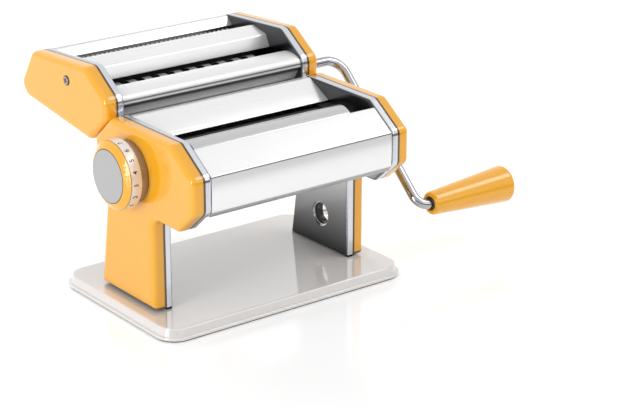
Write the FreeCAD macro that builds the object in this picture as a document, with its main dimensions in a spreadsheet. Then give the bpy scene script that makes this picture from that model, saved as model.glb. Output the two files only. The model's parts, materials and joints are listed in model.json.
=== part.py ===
import FreeCAD, Part
import math
import os
import types

import Sketcher

# A hand-cranked pasta roller machine with a lift-off cutter head.
# Frame of the part: origin under the middle of the base, +X towards the crank,
# +Y towards the back, +Z up, millimetres.

DIMENSIONS = {
    # Side frames: pressed plates whose rim is turned outwards
    "frame_span": 154.0,
    "frame_gauge": 1.5,
    "rim_depth": 5.2,
    "frame_corner": 6.0,
    "foot_bend": 7.0,
    "frame_bend": 1.8,
    # Outline of the side frames, front to back and bottom to top
    "front_y": -84.3,
    "top_front_y": -58.3,
    "top_back_y": 15.9,
    "back_y": 36.5,
    "chin_y": -65.1,
    "foot_front_y": -34.5,
    "foot_back_top_y": 23.5,
    "foot_back_y": 34.0,
    "ridge_z": 119.6,
    "chin_z": 95.1,
    "head_low_z": 77.9,
    "back_low_z": 94.4,
    "top_z": 137.6,
    "back_slant": 41.5,
    # Covers
    "cover_seam": 0.3,
    "cover_depth": 10.2,
    "cover_wall": 2.2,
    "cover_round": 4.0,
    "cover_lift": 1.6,
    "boss_radius": 4.5,
    # Base
    "base_length": 210.4,
    "base_depth": 142.0,
    "base_top": 9.15,
    "base_wall": 2.0,
    "base_corner": 16.0,
    "base_round": 1.2,
    "base_taper": 9.0,
    "base_lip_height": 2.4,
    "base_lip_width": 1.7,
    "base_lip_round": 0.9,
    "base_hollow_inset": 5.0,
    "base_hollow_corner": 7.0,
    "base_screw_radius": 1.4,
    "pad_gauge": 1.0,
    "pad_margin": 1.5,
    # Sheet panels
    "sheet": 1.0,
    "panel_inset": 0.8,
    "front_panel_lip": 8.0,
    "front_panel_share": 0.78,
    "hopper_low_y": -12.0,
    "hopper_low_z": 124.8,
    "hopper_top_y": 10.8,
    # Smooth rollers and their gears
    "dial_y": -10.5,
    "dial_z": 106.7,
    "rollers_tilt": 15.0,
    "roller_radius": 14.7,
    "roller_gap": 1.24,
    "roller_end_gap": 0.5,
    "journal_radius": 6.0,
    "hollow_journal_radius": 10.0,
    "sleeve_radius": 8.0,
    "sleeve_length": 14.0,
    "gear_teeth": 15,
    "gear_addendum": 2.0,
    "gear_dedendum": 3.4,
    "gear_backlash": 1.0,
    "gear_width": 6.0,
    "bush_wall": 2.0,
    "bush_proud": 1.8,
    "gear_gap": 0.5,
    "running_gap": 0.05,
    "end_gap": 0.5,
    "socket_radius": 3.9,
    "socket_depth": 22.0,
    "shaft_proud": 3.0,
    # Regulator
    "shaft_radius": 4.0,
    "eccentric_radius": 5.4,
    "eccentric_throw": 1.155,
    "eccentric_gap": 0.8,
    "roller_travel": 1.0,
    "travel_gap": 0.8,
    # Dial
    "collar_radius": 22.0,
    "collar_bore": 15.0,
    "collar_depth": 6.6,
    "dial_gap": 0.4,
    "ring_radius": 24.5,
    "ring_wall": 1.9,
    "ring_width": 8.5,
    "bevel_depth": 3.5,
    "cap_radius": 19.0,
    "cap_gauge": 1.5,
    "dial_floor": 2.0,
    "dial_cavity": 9.0,
    "flat_half": 3.0,
    "flat_gap": 0.1,
    "index_radius": 1.5,
    "index_reach": 18.5,
    "index_depth": 4.1,
    "index_seat": 3.0,
    "index_swing": 126.0,
    "index_gap": 0.3,
    "spring_radius": 6.5,
    "spring_wall": 1.0,
    "spring_length": 6.7,
    "dial_screw_head": 7.0,
    "dial_screw_thick": 1.4,
    "dial_screw_radius": 2.0,
    "dial_screw_length": 8.0,
    # Guides beside the rollers, scrapers under them
    "guide_width": 9.5,
    "guide_front_y": -57.5,
    "guide_back_y": 6.5,
    "guide_low_z": 93.9,
    "guide_top_z": 123.4,
    "scraper_gauge": 1.4,
    "scraper_gap": 0.4,
    "front_scraper_angle": -110.0,
    "front_scraper_run": 18.0,
    "front_scraper_drop": 6.6,
    "rear_scraper_angle": -70.0,
    "rear_scraper_run": 17.0,
    "rear_scraper_drop": 5.0,
    # Tie rods and screws
    "rod_radius": 4.0,
    "front_rod_y": -67.5,
    "front_rod_z": 89.4,
    "rear_rod_y": 23.5,
    "rear_rod_z": 91.4,
    "rod_screw_radius": 2.5,
    "rod_screw_length": 10.0,
    "screw_head_radius": 4.0,
    "screw_head_thick": 2.2,
    "cover_screw_radius": 2.0,
    "cover_screw_bite": 8.0,
    "front_cover_screw_y": -67.5,
    "rear_cover_screw_y": 27.5,
    "cover_screw_z": 104.4,
    "base_screw_front_y": -22.0,
    "base_screw_back_y": 25.0,
    # Clamp hole in the right foot
    "clamp_y": -2.0,
    "clamp_z": 34.2,
    "clamp_bore": 8.0,
    "clamp_wall": 1.5,
    "clamp_rim": 2.0,
    "clamp_rim_thick": 1.2,
    # Cutter head, measured from the upper back corner of the main frames
    "cutter_gap": 0.4,
    "cutter_corner": 9.0,
    "mating_start": 6.0,
    "mating_end": 36.4,
    "cutter_nose_y": 4.4,
    "cutter_nose_z": 10.8,
    "cutter_crest_y": 30.6,
    "cutter_crest_z": 28.8,
    "cutter_top_back_y": 104.1,
    "cutter_top_back_z": 24.3,
    "cutter_tail_y": 122.4,
    "cutter_tail_z": -4.2,
    "cutter_low_back_y": 112.9,
    "cutter_low_back_z": -12.6,
    # Cutter panels
    "bullnose_back_y": 30.2,
    "bullnose_top_z": 12.6,
    "bullnose_front_y": 6.1,
    "bullnose_low_z": 4.3,
    "bullnose_round": 5.0,
    "apron_top_y": 8.6,
    "apron_top_z": 2.6,
    "apron_low_y": 14.7,
    "apron_low_z": -6.7,
    "middle_low_y": 45.2,
    "middle_low_z": 11.6,
    "middle_front_y": 49.1,
    "middle_front_z": 20.3,
    "middle_ridge_y": 65.6,
    "middle_ridge_z": 23.7,
    "middle_back_y": 69.2,
    "middle_back_z": 22.8,
    "middle_tail_y": 77.0,
    "middle_tail_z": 18.0,
    "tail_slot_y": 93.6,
    "tail_slot_z": 17.8,
    "tail_top_y": 99.6,
    "tail_top_z": 24.6,
    # Cutter rollers, their gears and combs
    "cutter_tilt": 4.0,
    "cutter_axes": 17.5,
    "wide_front_y": 27.4,
    "wide_front_z": -3.2,
    "narrow_front_y": 73.1,
    "narrow_front_z": 2.6,
    "cutter_ring_radius": 9.5,
    "cutter_core_radius": 7.6,
    "cutter_end_gap": 6.0,
    "cutter_journal": 5.5,
    "wide_cut": 6.5,
    "narrow_cut": 2.0,
    "cut_gap": 0.2,
    "cutter_teeth": 14,
    "cutter_addendum": 1.25,
    "cutter_dedendum": 1.55,
    "cutter_backlash": 0.3,
    "comb_tip_gap": 0.4,
    "comb_drop": 13.4,
    "comb_bar_height": 2.4,
    "comb_bar_width": 4.0,
    "comb_tooth_width": 2.0,
    "comb_side_gap": 0.4,
    # Cutter tie rod and locating pegs
    "cutter_rod_y": 55.3,
    "cutter_rod_z": 13.6,
    "cutter_screw_head": 3.2,
    "cutter_screw_sink": 1.6,
    "peg_radius": 1.5,
    "peg_length": 5.0,
    "peg_near": 10.0,
    "peg_far": 24.0,
    # Crank
    "crank_radius": 3.8,
    "crank_reach": 129.0,
    "crank_arm": 133.4,
    "crank_angle": 222.9,
    "crank_bend": 13.0,
    "crank_low_bend": 9.5,
    "grip_offset": 10.5,
    "grip_length": 74.0,
    "grip_small_radius": 8.8,
    "grip_big_radius": 14.4,
    "grip_round": 3.0,
    "grip_small_round": 2.0,
    "grip_wall": 16.0,
    "ferrule_radius": 5.2,
    "ferrule_length": 2.6,
    "ferrule_sink": 2.0,
    "ferrule_gap": 0.3,
}

DOC = FreeCAD.newDocument("pasta_machine")
SUBPARTS = []


class Size:
    """A length or angle: its value, and the sheet expression that drives it."""

    def __init__(self, value, text):
        self.value = value
        self.text = text

    def __add__(self, other):
        other = as_size(other)
        return Size(self.value + other.value, f"({self.text} + {other.text})")

    def __sub__(self, other):
        other = as_size(other)
        return Size(self.value - other.value, f"({self.text} - {other.text})")

    def __mul__(self, other):
        other = as_size(other)
        return Size(self.value * other.value, f"({self.text} * {other.text})")

    def __truediv__(self, other):
        other = as_size(other)
        return Size(self.value / other.value, f"({self.text} / {other.text})")

    def __neg__(self):
        return Size(-self.value, f"(0 - {self.text})")


def as_size(item):
    return item if isinstance(item, Size) else Size(float(item), repr(float(item)))


def cosine(angle):
    return Size(math.cos(math.radians(angle.value)), f"cos({angle.text})")


def sine(angle):
    return Size(math.sin(math.radians(angle.value)), f"sin({angle.text})")


def tangent(angle):
    return Size(math.tan(math.radians(angle.value)), f"tan({angle.text})")


def write_sheet():
    """Put the driving dimensions in a spreadsheet and give each one a Size."""
    sheet = DOC.addObject("Spreadsheet::Sheet", "dims")
    sizes = types.SimpleNamespace()
    for row, (alias, number) in enumerate(DIMENSIONS.items(), start=1):
        sheet.set(f"A{row}", alias)
        sheet.set(f"B{row}", str(number))
        sheet.setAlias(f"B{row}", alias)
        setattr(sizes, alias, Size(float(number), f"dims.{alias}"))
    DOC.recompute()
    return sizes


D = write_sheet()
ZERO = as_size(0)
LEFT = -1
RIGHT = 1

# Distances from the middle plane to the faces on either side
INNER = D.frame_span / 2
PLATE = INNER + D.frame_gauge
RIM = INNER + D.rim_depth
COVER_START = RIM + D.cover_seam
COVER_END = COVER_START + D.cover_depth
COVER_INSIDE = COVER_END - D.cover_wall
BUSH_END = PLATE + D.bush_proud
GEAR_START = BUSH_END + D.gear_gap
GEAR_END = GEAR_START + D.gear_width
SHAFT_END = GEAR_END + D.shaft_proud
ROLLER_END = INNER - D.guide_width - D.roller_end_gap
CUTTER_END = INNER - D.cutter_end_gap


def moved(point, across, up):
    return (point[0] + across, point[1] + up)


# Points in the side view, as (Y, Z)
BACK_TOP_Z = D.top_z - (D.back_y - D.top_back_y) * tangent(D.back_slant)
CORNER = (D.top_back_y, D.top_z)
DIAL = (D.dial_y, D.dial_z)
REAR = moved(DIAL, D.eccentric_throw * sine(D.rollers_tilt), D.eccentric_throw * cosine(D.rollers_tilt))
CENTRES = D.roller_radius * 2 + D.roller_gap
FRONT = moved(REAR, -CENTRES * cosine(D.rollers_tilt), CENTRES * sine(D.rollers_tilt))
CLAMP = (D.clamp_y, D.clamp_z)
FRONT_ROD = (D.front_rod_y, D.front_rod_z)
REAR_ROD = (D.rear_rod_y, D.rear_rod_z)
COVER_SCREWS = [(D.front_cover_screw_y, D.cover_screw_z), (D.rear_cover_screw_y, D.cover_screw_z)]
CUTTER_ROD = moved(CORNER, D.cutter_rod_y, D.cutter_rod_z)
CUTTER_STEP = (D.cutter_axes * cosine(D.cutter_tilt), D.cutter_axes * sine(D.cutter_tilt))
WIDE_FRONT = moved(CORNER, D.wide_front_y, D.wide_front_z)
WIDE_REAR = moved(WIDE_FRONT, *CUTTER_STEP)
NARROW_FRONT = moved(CORNER, D.narrow_front_y, D.narrow_front_z)
NARROW_REAR = moved(NARROW_FRONT, *CUTTER_STEP)
CUTTER_AXES = [WIDE_FRONT, WIDE_REAR, NARROW_FRONT, NARROW_REAR]
REAR_HOLE = D.hollow_journal_radius + D.roller_travel + D.travel_gap


def slant_point(along, off):
    """A point measured down the back slant from its top, and out from it."""
    across = along * cosine(D.back_slant) + off * sine(D.back_slant)
    up = off * cosine(D.back_slant) - along * sine(D.back_slant)
    return moved(CORNER, across, up)


def main_outline(foot_z):
    """The side frame's outline, standing on the given height."""
    share = (foot_z - D.base_top) / (D.head_low_z - D.base_top)
    foot_back = D.foot_back_y + (D.foot_back_top_y - D.foot_back_y) * share
    return [
        (D.front_y, D.chin_z),
        (D.front_y, D.ridge_z),
        (D.top_front_y, D.top_z),
        CORNER,
        (D.back_y, BACK_TOP_Z),
        (D.back_y, D.back_low_z),
        (D.foot_back_top_y, D.head_low_z),
        (foot_back, foot_z),
        (D.foot_front_y, foot_z),
        (D.foot_front_y, D.head_low_z),
        (D.chin_y, D.head_low_z),
    ]


def main_rounds(outline):
    """The corners to round: those of the head and chin, then the two bends above the foot."""
    return [outline[:6] + outline[-1:], [outline[6], outline[9]]]


def cutter_outline():
    return [
        slant_point(D.mating_end, D.cutter_gap),
        slant_point(D.mating_start, D.cutter_gap),
        moved(CORNER, D.cutter_nose_y, D.cutter_nose_z),
        moved(CORNER, D.cutter_crest_y, D.cutter_crest_z),
        moved(CORNER, D.cutter_top_back_y, D.cutter_top_back_z),
        moved(CORNER, D.cutter_tail_y, D.cutter_tail_z),
        moved(CORNER, D.cutter_low_back_y, D.cutter_low_back_z),
    ]


def cutter_rounds(outline):
    """All corners but the one that meets the top of the main frames."""
    return [outline[:1] + outline[2:]]


# Helpers that make features and tie them to the sheet

def tie(item, path, size):
    item.setExpression(path, size.text)


def new_body(label, centre=(ZERO, ZERO), turn=None):
    """A body whose local origin lies on the given axis, turned about X if asked."""
    body = DOC.addObject("PartDesign::Body", label)
    body.Label = label
    angle = turn.value if turn else 0
    base = FreeCAD.Vector(0, centre[0].value, centre[1].value)
    body.Placement = FreeCAD.Placement(base, FreeCAD.Rotation(FreeCAD.Vector(1, 0, 0), angle))
    tie(body, "Placement.Base.y", centre[0])
    tie(body, "Placement.Base.z", centre[1])
    if turn:
        body.setExpression("Placement.Rotation.Angle", f"{turn.text} * 1 deg")
    SUBPARTS.append(body)
    return body


def sketch_on(body, role, offset=ZERO):
    sketch = body.newObject("Sketcher::SketchObject", body.Name + "_sketch")
    plane = [item for item in body.Origin.OriginFeatures if item.Role == role][0]
    sketch.AttachmentSupport = [(plane, "")]
    sketch.MapMode = "FlatFace"
    sketch.AttachmentOffset = FreeCAD.Placement(FreeCAD.Vector(0, 0, offset.value), FreeCAD.Rotation())
    tie(sketch, "AttachmentOffset.Base.z", offset)
    return sketch


def hold(sketch, kind, element, end, size):
    index = sketch.addConstraint(Sketcher.Constraint(kind, -1, 1, element, end, size.value))
    tie(sketch, f"Constraints[{index}]", size)


def draw_path(sketch, points, closed=True):
    """Straight lines through the points, each point held by the sheet."""
    first = sketch.GeometryCount
    corners = [FreeCAD.Vector(across.value, up.value, 0) for across, up in points]
    ends = corners[1:] + corners[:1] if closed else corners[1:]
    for start, end in zip(corners, ends):
        sketch.addGeometry(Part.LineSegment(start, end), False)
    count = len(ends)
    for i, end in enumerate(ends):
        if closed or i < count - 1:
            following = first + (i + 1) % count
            sketch.addConstraint(Sketcher.Constraint("Coincident", first + i, 2, following, 1))
        hold(sketch, "DistanceX", first + i, 1, points[i][0])
        hold(sketch, "DistanceY", first + i, 1, points[i][1])


def draw_circle(sketch, centre, radius):
    middle = FreeCAD.Vector(centre[0].value, centre[1].value, 0)
    index = sketch.addGeometry(Part.Circle(middle, FreeCAD.Vector(0, 0, 1), radius.value), False)
    hold(sketch, "DistanceX", index, 3, centre[0])
    hold(sketch, "DistanceY", index, 3, centre[1])
    constraint = sketch.addConstraint(Sketcher.Constraint("Radius", index, radius.value))
    tie(sketch, f"Constraints[{constraint}]", radius)


def pad(body, sketch, length, towards=RIGHT):
    feature = body.newObject("PartDesign::Pad", body.Name + "_pad")
    feature.Profile = sketch
    feature.Length = length.value
    tie(feature, "Length", length)
    feature.Reversed = towards == LEFT
    DOC.recompute()
    return feature


def pocket(body, sketch, depth=None, towards=RIGHT):
    """Cut the sketch to a depth, or right through both ways."""
    before = body.Shape.Volume
    feature = body.newObject("PartDesign::Pocket", body.Name + "_pocket")
    feature.Profile = sketch
    if depth:
        feature.Length = depth.value
        tie(feature, "Length", depth)
        feature.Reversed = towards == RIGHT
    else:
        feature.Type = "ThroughAll"
        feature.SideType = "Symmetric"
    DOC.recompute()
    if body.Shape.Volume >= before:
        raise RuntimeError(f"a pocket in {body.Label} cuts nothing")
    return feature


def spin(body, sketch, kind="Revolution", angle=None):
    """Turn the sketch about the body's own X axis."""
    feature = body.newObject("PartDesign::" + kind, body.Name + "_turned")
    feature.Profile = sketch
    feature.ReferenceAxis = (sketch, ["H_Axis"])
    feature.Angle = 360
    if angle:
        feature.Midplane = True
        feature.Angle = angle.value
        feature.setExpression("Angle", f"{angle.text} * 1 deg")
    DOC.recompute()
    return feature


def fillet(body, base, edges, radius):
    feature = body.newObject("PartDesign::Fillet", body.Name + "_round")
    feature.Base = (base, edges)
    feature.Radius = radius.value
    tie(feature, "Radius", radius)
    DOC.recompute()
    return feature


def corner_edges(shape, points):
    """Names of the edges that run along X through the given side-view points."""
    names = []
    for index, edge in enumerate(shape.Edges, start=1):
        box = edge.BoundBox
        if box.YLength + box.ZLength > 1e-6:
            continue
        if any(math.hypot(box.YMin - y.value, box.ZMin - z.value) < 1e-4 for y, z in points):
            names.append(f"Edge{index}")
    return names


def rim_edges(shape, axis, level):
    """Names of the edges that lie wholly at one level of an axis, on the outermost wire."""
    names = []
    faces = [f for f in shape.Faces if face_level(f, axis) is not None]
    chosen = [f for f in faces if abs(face_level(f, axis) - level) < 1e-6]
    wire = max(chosen, key=lambda f: f.OuterWire.BoundBox.DiagonalLength).OuterWire
    for index, edge in enumerate(shape.Edges, start=1):
        if any(edge.isSame(other) for other in wire.Edges):
            names.append(f"Edge{index}")
    return names


def face_level(face, axis):
    """The level of a flat face along an axis, or nothing if it isn't square to it."""
    box = face.BoundBox
    low = (box.XMin, box.YMin, box.ZMin)[axis]
    high = (box.XMax, box.YMax, box.ZMax)[axis]
    return low if high - low < 1e-6 else None


def hollow(body, base, axis, level, wall):
    """Shell the body to a wall, open at the flat face at the given level."""
    names = []
    for index, face in enumerate(base.Shape.Faces, start=1):
        place = face_level(face, axis)
        if place is not None and abs(place - level.value) < 1e-6:
            names.append(f"Face{index}")
    feature = body.newObject("PartDesign::Thickness", body.Name + "_shell")
    feature.Base = (base, names)
    feature.Value = wall.value
    feature.Reversed = True
    tie(feature, "Value", wall)
    DOC.recompute()
    return feature


def drill(body, start, holes):
    """Round holes along X, right through, as (centre, radius) pairs."""
    sketch = sketch_on(body, "YZ_Plane", start)
    for centre, radius in holes:
        draw_circle(sketch, centre, radius)
    return pocket(body, sketch)


def turned(label, profile, centre, turn=None):
    """A round piece about an axis along X, from (x, radius) points."""
    body = new_body(label, centre, turn)
    sketch = sketch_on(body, "XY_Plane")
    draw_path(sketch, profile)
    spin(body, sketch)
    return body


def tube_profile(start, end, bore, radius):
    return [(start, bore), (end, bore), (end, radius), (start, radius)]


def extruded(label, points, start, end):
    """A prism along X with a side-view outline."""
    body = new_body(label)
    sketch = sketch_on(body, "YZ_Plane", start)
    draw_path(sketch, points)
    pad(body, sketch, end - start)
    return body


def group(label, bodies):
    """Put equal small pieces under one name as separate solids."""
    compound = DOC.addObject("Part::Compound", label)
    compound.Label = label
    compound.Links = bodies
    for body in bodies:
        SUBPARTS.remove(body)
    SUBPARTS.append(compound)
    return compound


# Base

def base_rectangle(inset):
    half_x = D.base_length / 2 - inset
    half_y = D.base_depth / 2 - inset
    return [(-half_x, -half_y), (half_x, -half_y), (half_x, half_y), (-half_x, half_y)]


def base_plate():
    """A pressed tray with a slanted wall on a turned-out lip, hollow underneath."""
    body = new_body("base_plate")
    wall = sketch_on(body, "XY_Plane", D.pad_gauge)
    draw_path(wall, base_rectangle(D.base_lip_width))
    tray = pad(body, wall, D.base_top - D.pad_gauge)
    tray.setExpression("TaperAngle", f"{(-D.base_taper).text} * 1 deg")
    DOC.recompute()
    rounded = fillet(body, tray, wall_corner_edges(tray.Shape), D.base_corner - D.base_lip_width)
    fillet(body, rounded, rim_edges(rounded.Shape, 2, D.base_top.value), D.base_round)
    base_lip(body)
    hollow_base(body)
    holes = sketch_on(body, "XY_Plane", D.base_top)
    for side in (LEFT, RIGHT):
        for depth in (D.base_screw_front_y, D.base_screw_back_y):
            draw_circle(holes, (base_screw_x(side), depth), D.base_screw_radius)
    pocket(body, holes)


def base_lip(body):
    foot = sketch_on(body, "XY_Plane", D.pad_gauge)
    draw_path(foot, base_rectangle(ZERO))
    block = pad(body, foot, D.base_lip_height)
    lip = fillet(body, block, upright_edges(block.Shape), D.base_corner)
    lip_top = D.pad_gauge + D.base_lip_height
    edges = rim_edges(lip.Shape, 2, lip_top.value) + rim_edges(lip.Shape, 2, D.pad_gauge.value)
    fillet(body, lip, edges, D.base_lip_round)


def hollow_base(body):
    """Cut the space under the tray, with its corners cut off."""
    half_x = D.base_length / 2 - D.base_hollow_inset
    half_y = D.base_depth / 2 - D.base_hollow_inset
    short_x = half_x - D.base_hollow_corner
    short_y = half_y - D.base_hollow_corner
    space = sketch_on(body, "XY_Plane", D.pad_gauge)
    draw_path(space, [
        (-short_x, -half_y), (short_x, -half_y), (half_x, -short_y), (half_x, short_y),
        (short_x, half_y), (-short_x, half_y), (-half_x, short_y), (-half_x, -short_y),
    ])
    pocket(body, space, D.base_top - D.base_wall - D.pad_gauge, RIGHT)


def wall_corner_edges(shape):
    """Names of the straight edges at the corners of the tray's slanted wall."""
    half = (D.base_top - D.pad_gauge).value / 2
    return [
        f"Edge{index}" for index, edge in enumerate(shape.Edges, start=1)
        if edge.BoundBox.ZLength > half
    ]


def upright_edges(shape):
    names = []
    for index, edge in enumerate(shape.Edges, start=1):
        box = edge.BoundBox
        if box.XLength + box.YLength < 1e-6:
            names.append(f"Edge{index}")
    return names


def base_screw_x(side):
    return (PLATE + RIM) / 2 * side


def non_slip_pad():
    body = new_body("non_slip_pad")
    sketch = sketch_on(body, "XY_Plane")
    draw_path(sketch, base_rectangle(D.pad_margin))
    sheet = pad(body, sketch, D.pad_gauge)
    fillet(body, sheet, upright_edges(sheet.Shape), D.base_corner - D.pad_margin)


def base_screws():
    """Screws up through the base into the turned-out feet of the frames."""
    screws = []
    head_top = D.base_top - D.base_wall
    for side in (LEFT, RIGHT):
        for depth in (D.base_screw_front_y, D.base_screw_back_y):
            body = new_body("base_screw")
            head = sketch_on(body, "XY_Plane", head_top - D.screw_head_thick)
            draw_circle(head, (base_screw_x(side), depth), D.screw_head_radius)
            pad(body, head, D.screw_head_thick)
            shank = sketch_on(body, "XY_Plane", head_top)
            draw_circle(shank, (base_screw_x(side), depth), D.base_screw_radius)
            pad(body, shank, D.base_wall + D.frame_gauge)
            screws.append(body)
    group("base_screws", screws)


# Side frames and covers of the main machine

def pressed_frame(label, side, outline, rounds, radii, holes):
    """A plate with its rim turned outwards all round, drilled for what it carries."""
    body = new_body(label)
    sketch = sketch_on(body, "YZ_Plane", INNER * side)
    draw_path(sketch, outline)
    feature = pad(body, sketch, D.rim_depth, side)
    for corners, radius in zip(rounds, radii):
        edges = corner_edges(feature.Shape, corners)
        feature = fillet(body, feature, edges, radius)
    feature = fillet(body, feature, rim_edges(feature.Shape, 0, INNER.value * side), D.frame_bend)
    hollow(body, feature, 0, RIM * side, D.frame_gauge)
    drill(body, INNER * side, holes)
    return body


def side_cover(label, side, outline, rounds, radii, holes, bosses):
    """A moulded shell over one side frame, open towards it, with screw bosses inside."""
    body = new_body(label)
    sketch = sketch_on(body, "YZ_Plane", COVER_START * side)
    draw_path(sketch, outline)
    feature = pad(body, sketch, D.cover_depth, side)
    for corners, radius in zip(rounds, radii):
        edges = corner_edges(feature.Shape, corners)
        feature = fillet(body, feature, edges, radius)
    shell = hollow(body, feature, 0, COVER_START * side, D.cover_wall)
    fillet(body, shell, rim_edges(shell.Shape, 0, COVER_END.value * side), D.cover_round)
    if bosses:
        posts = sketch_on(body, "YZ_Plane", PLATE * side)
        for centre in bosses:
            draw_circle(posts, centre, D.boss_radius)
        pad(body, posts, COVER_INSIDE - PLATE, side)
    if holes:
        drill(body, COVER_END * side, holes)
    return body


def frame_radii():
    return [D.frame_corner, D.foot_bend]


def frame_holes(side):
    rod_hole = D.rod_screw_radius
    holes = [(FRONT_ROD, rod_hole), (REAR_ROD, rod_hole)]
    holes += [(FRONT, D.journal_radius + D.running_gap + D.bush_wall)]
    holes += [(point, D.cover_screw_radius) for point in COVER_SCREWS]
    if side == LEFT:
        holes += [(DIAL, D.shaft_radius + D.running_gap + D.bush_wall)]
    else:
        holes += [(REAR, REAR_HOLE), (CLAMP, D.clamp_bore + D.clamp_wall)]
    return holes


def main_frames():
    outline = main_outline(D.base_top)
    for label, side in (("left_frame", LEFT), ("right_frame", RIGHT)):
        body = pressed_frame(label, side, outline, main_rounds(outline), frame_radii(), frame_holes(side))
        feet = sketch_on(body, "XY_Plane", D.base_top)
        for depth in (D.base_screw_front_y, D.base_screw_back_y):
            draw_circle(feet, (base_screw_x(side), depth), D.base_screw_radius)
        pocket(body, feet, D.frame_gauge)
        pegged(body, label, side)


def pegged(body, label, side):
    """Drill the back slant of the rim for the cutter head's locating pegs."""
    tools = []
    for along in (D.peg_near, D.peg_far):
        radius = D.peg_radius + D.running_gap
        tools.append(slant_cylinder(label + "_peg_hole", side, along, radius, -D.peg_length, D.peg_length))
    body.Label = label + "_pressing"
    cutters = DOC.addObject("Part::MultiFuse", label + "_peg_holes")
    cutters.Shapes = tools
    result = DOC.addObject("Part::Cut", label)
    result.Label = label
    result.Base = body
    result.Tool = cutters
    SUBPARTS.remove(body)
    SUBPARTS.append(result)


def slant_cylinder(label, side, along, radius, low, high):
    """A cylinder square to the back slant, from one height over it to another."""
    foot = slant_point(along, low)
    cylinder = DOC.addObject("Part::Cylinder", label)
    length = high - low
    cylinder.Radius = radius.value
    cylinder.Height = length.value
    middle = (PLATE + RIM) / 2 * side
    base = FreeCAD.Vector(middle.value, foot[0].value, foot[1].value)
    turn = FreeCAD.Rotation(FreeCAD.Vector(1, 0, 0), -D.back_slant.value)
    cylinder.Placement = FreeCAD.Placement(base, turn)
    tie(cylinder, "Radius", radius)
    tie(cylinder, "Height", length)
    tie(cylinder, "Placement.Base.x", middle)
    tie(cylinder, "Placement.Base.y", foot[0])
    tie(cylinder, "Placement.Base.z", foot[1])
    cylinder.setExpression("Placement.Rotation.Angle", f"{(-D.back_slant).text} * 1 deg")
    return cylinder


def main_covers():
    outline = main_outline(D.base_top + D.cover_lift)
    left_holes = [(DIAL, D.shaft_radius + D.end_gap)]
    right_holes = [(FRONT, D.journal_radius + D.end_gap), (CLAMP, D.clamp_bore + D.clamp_wall)]
    for label, side, holes in (("left_cover", LEFT, left_holes), ("right_cover", RIGHT, right_holes)):
        body = side_cover(label, side, outline, main_rounds(outline), frame_radii(), holes, COVER_SCREWS)
        if side == RIGHT:
            shaft_support(body)
        threads = sketch_on(body, "YZ_Plane", PLATE * side)
        for centre in COVER_SCREWS:
            draw_circle(threads, centre, D.cover_screw_radius)
        pocket(body, threads, D.cover_screw_bite, side)


def shaft_support(body):
    """A moulded bearing for the far end of the regulator shaft."""
    post = sketch_on(body, "YZ_Plane", GEAR_END + D.gear_gap)
    draw_circle(post, DIAL, D.shaft_radius + D.running_gap + D.bush_wall)
    pad(body, post, COVER_INSIDE - GEAR_END - D.gear_gap)
    bore = sketch_on(body, "YZ_Plane", GEAR_END + D.gear_gap)
    draw_circle(bore, DIAL, D.shaft_radius + D.running_gap)
    pocket(body, bore, COVER_INSIDE - GEAR_END - D.gear_gap)


def cover_screws():
    screws = []
    for side in (LEFT, RIGHT):
        for centre in COVER_SCREWS:
            head = (INNER - D.screw_head_thick) * side
            tip = (PLATE + D.cover_screw_bite) * side
            profile = screw_profile(head, INNER * side, tip, D.screw_head_radius, D.cover_screw_radius)
            screws.append(turned("cover_screw", profile, centre))
    group("cover_screws", screws)


def screw_profile(head, seat, tip, head_radius, radius):
    return [
        (head, ZERO), (tip, ZERO), (tip, radius),
        (seat, radius), (seat, head_radius), (head, head_radius),
    ]


def tie_rods():
    screws = []
    for label, centre in (("front_tie_rod", FRONT_ROD), ("rear_tie_rod", REAR_ROD)):
        bore_end = INNER - D.rod_screw_length
        profile = [
            (-INNER, D.rod_screw_radius),
            (-bore_end, D.rod_screw_radius),
            (-bore_end, ZERO),
            (bore_end, ZERO),
            (bore_end, D.rod_screw_radius),
            (INNER, D.rod_screw_radius),
            (INNER, D.rod_radius),
            (-INNER, D.rod_radius),
        ]
        turned(label, profile, centre)
        for side in (LEFT, RIGHT):
            head = (PLATE + D.screw_head_thick) * side
            tip = (INNER - D.rod_screw_length) * side
            shape = screw_profile(head, PLATE * side, tip, D.screw_head_radius, D.rod_screw_radius)
            screws.append(turned("frame_screw", shape, centre))
    group("frame_screws", screws)


def clamp_sleeve():
    """The lining of the hole through the right foot, which takes the rod of a table clamp."""
    outer = D.clamp_bore + D.clamp_wall
    flange = PLATE + D.clamp_rim_thick
    profile = [
        (PLATE, D.clamp_bore),
        (COVER_END, D.clamp_bore),
        (COVER_END, outer),
        (flange, outer),
        (flange, outer + D.clamp_rim),
        (PLATE, outer + D.clamp_rim),
    ]
    turned("clamp_sleeve", profile, CLAMP)


# Sheet panels of the main machine

def front_panel():
    """Bright sheet from the hopper's front edge over the ridge and down to the chin."""
    ridge = moved((D.front_y, D.ridge_z), D.panel_inset, -D.panel_inset / 2)
    run = D.front_panel_share
    top = moved(ridge, (D.top_front_y - D.front_y) * run, (D.top_z - D.ridge_z) * run)
    chin = moved((D.front_y, D.chin_z), D.panel_inset, -D.panel_inset)
    points = [
        chin,
        ridge,
        top,
        moved(top, D.sheet, -D.sheet),
        moved(top, D.sheet, -D.front_panel_lip),
        moved(top, ZERO, -D.front_panel_lip),
        moved(top, ZERO, -D.sheet * 1.6),
        moved(ridge, D.sheet * 1.1, -D.sheet * 0.3),
        moved(chin, D.sheet, ZERO),
    ]
    extruded("front_panel", points, -INNER, INNER)


def hopper_panel():
    low = (D.hopper_low_y, D.hopper_low_z)
    top = (D.hopper_top_y, D.top_z - D.panel_inset)
    back = (D.top_back_y - D.panel_inset, D.top_z - D.panel_inset)
    points = [
        low,
        top,
        back,
        moved(back, ZERO, -D.sheet),
        moved(top, D.sheet * 0.3, -D.sheet),
        moved(low, D.sheet * 0.5, -D.sheet),
    ]
    extruded("hopper_panel", points, -INNER, INNER)


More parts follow.
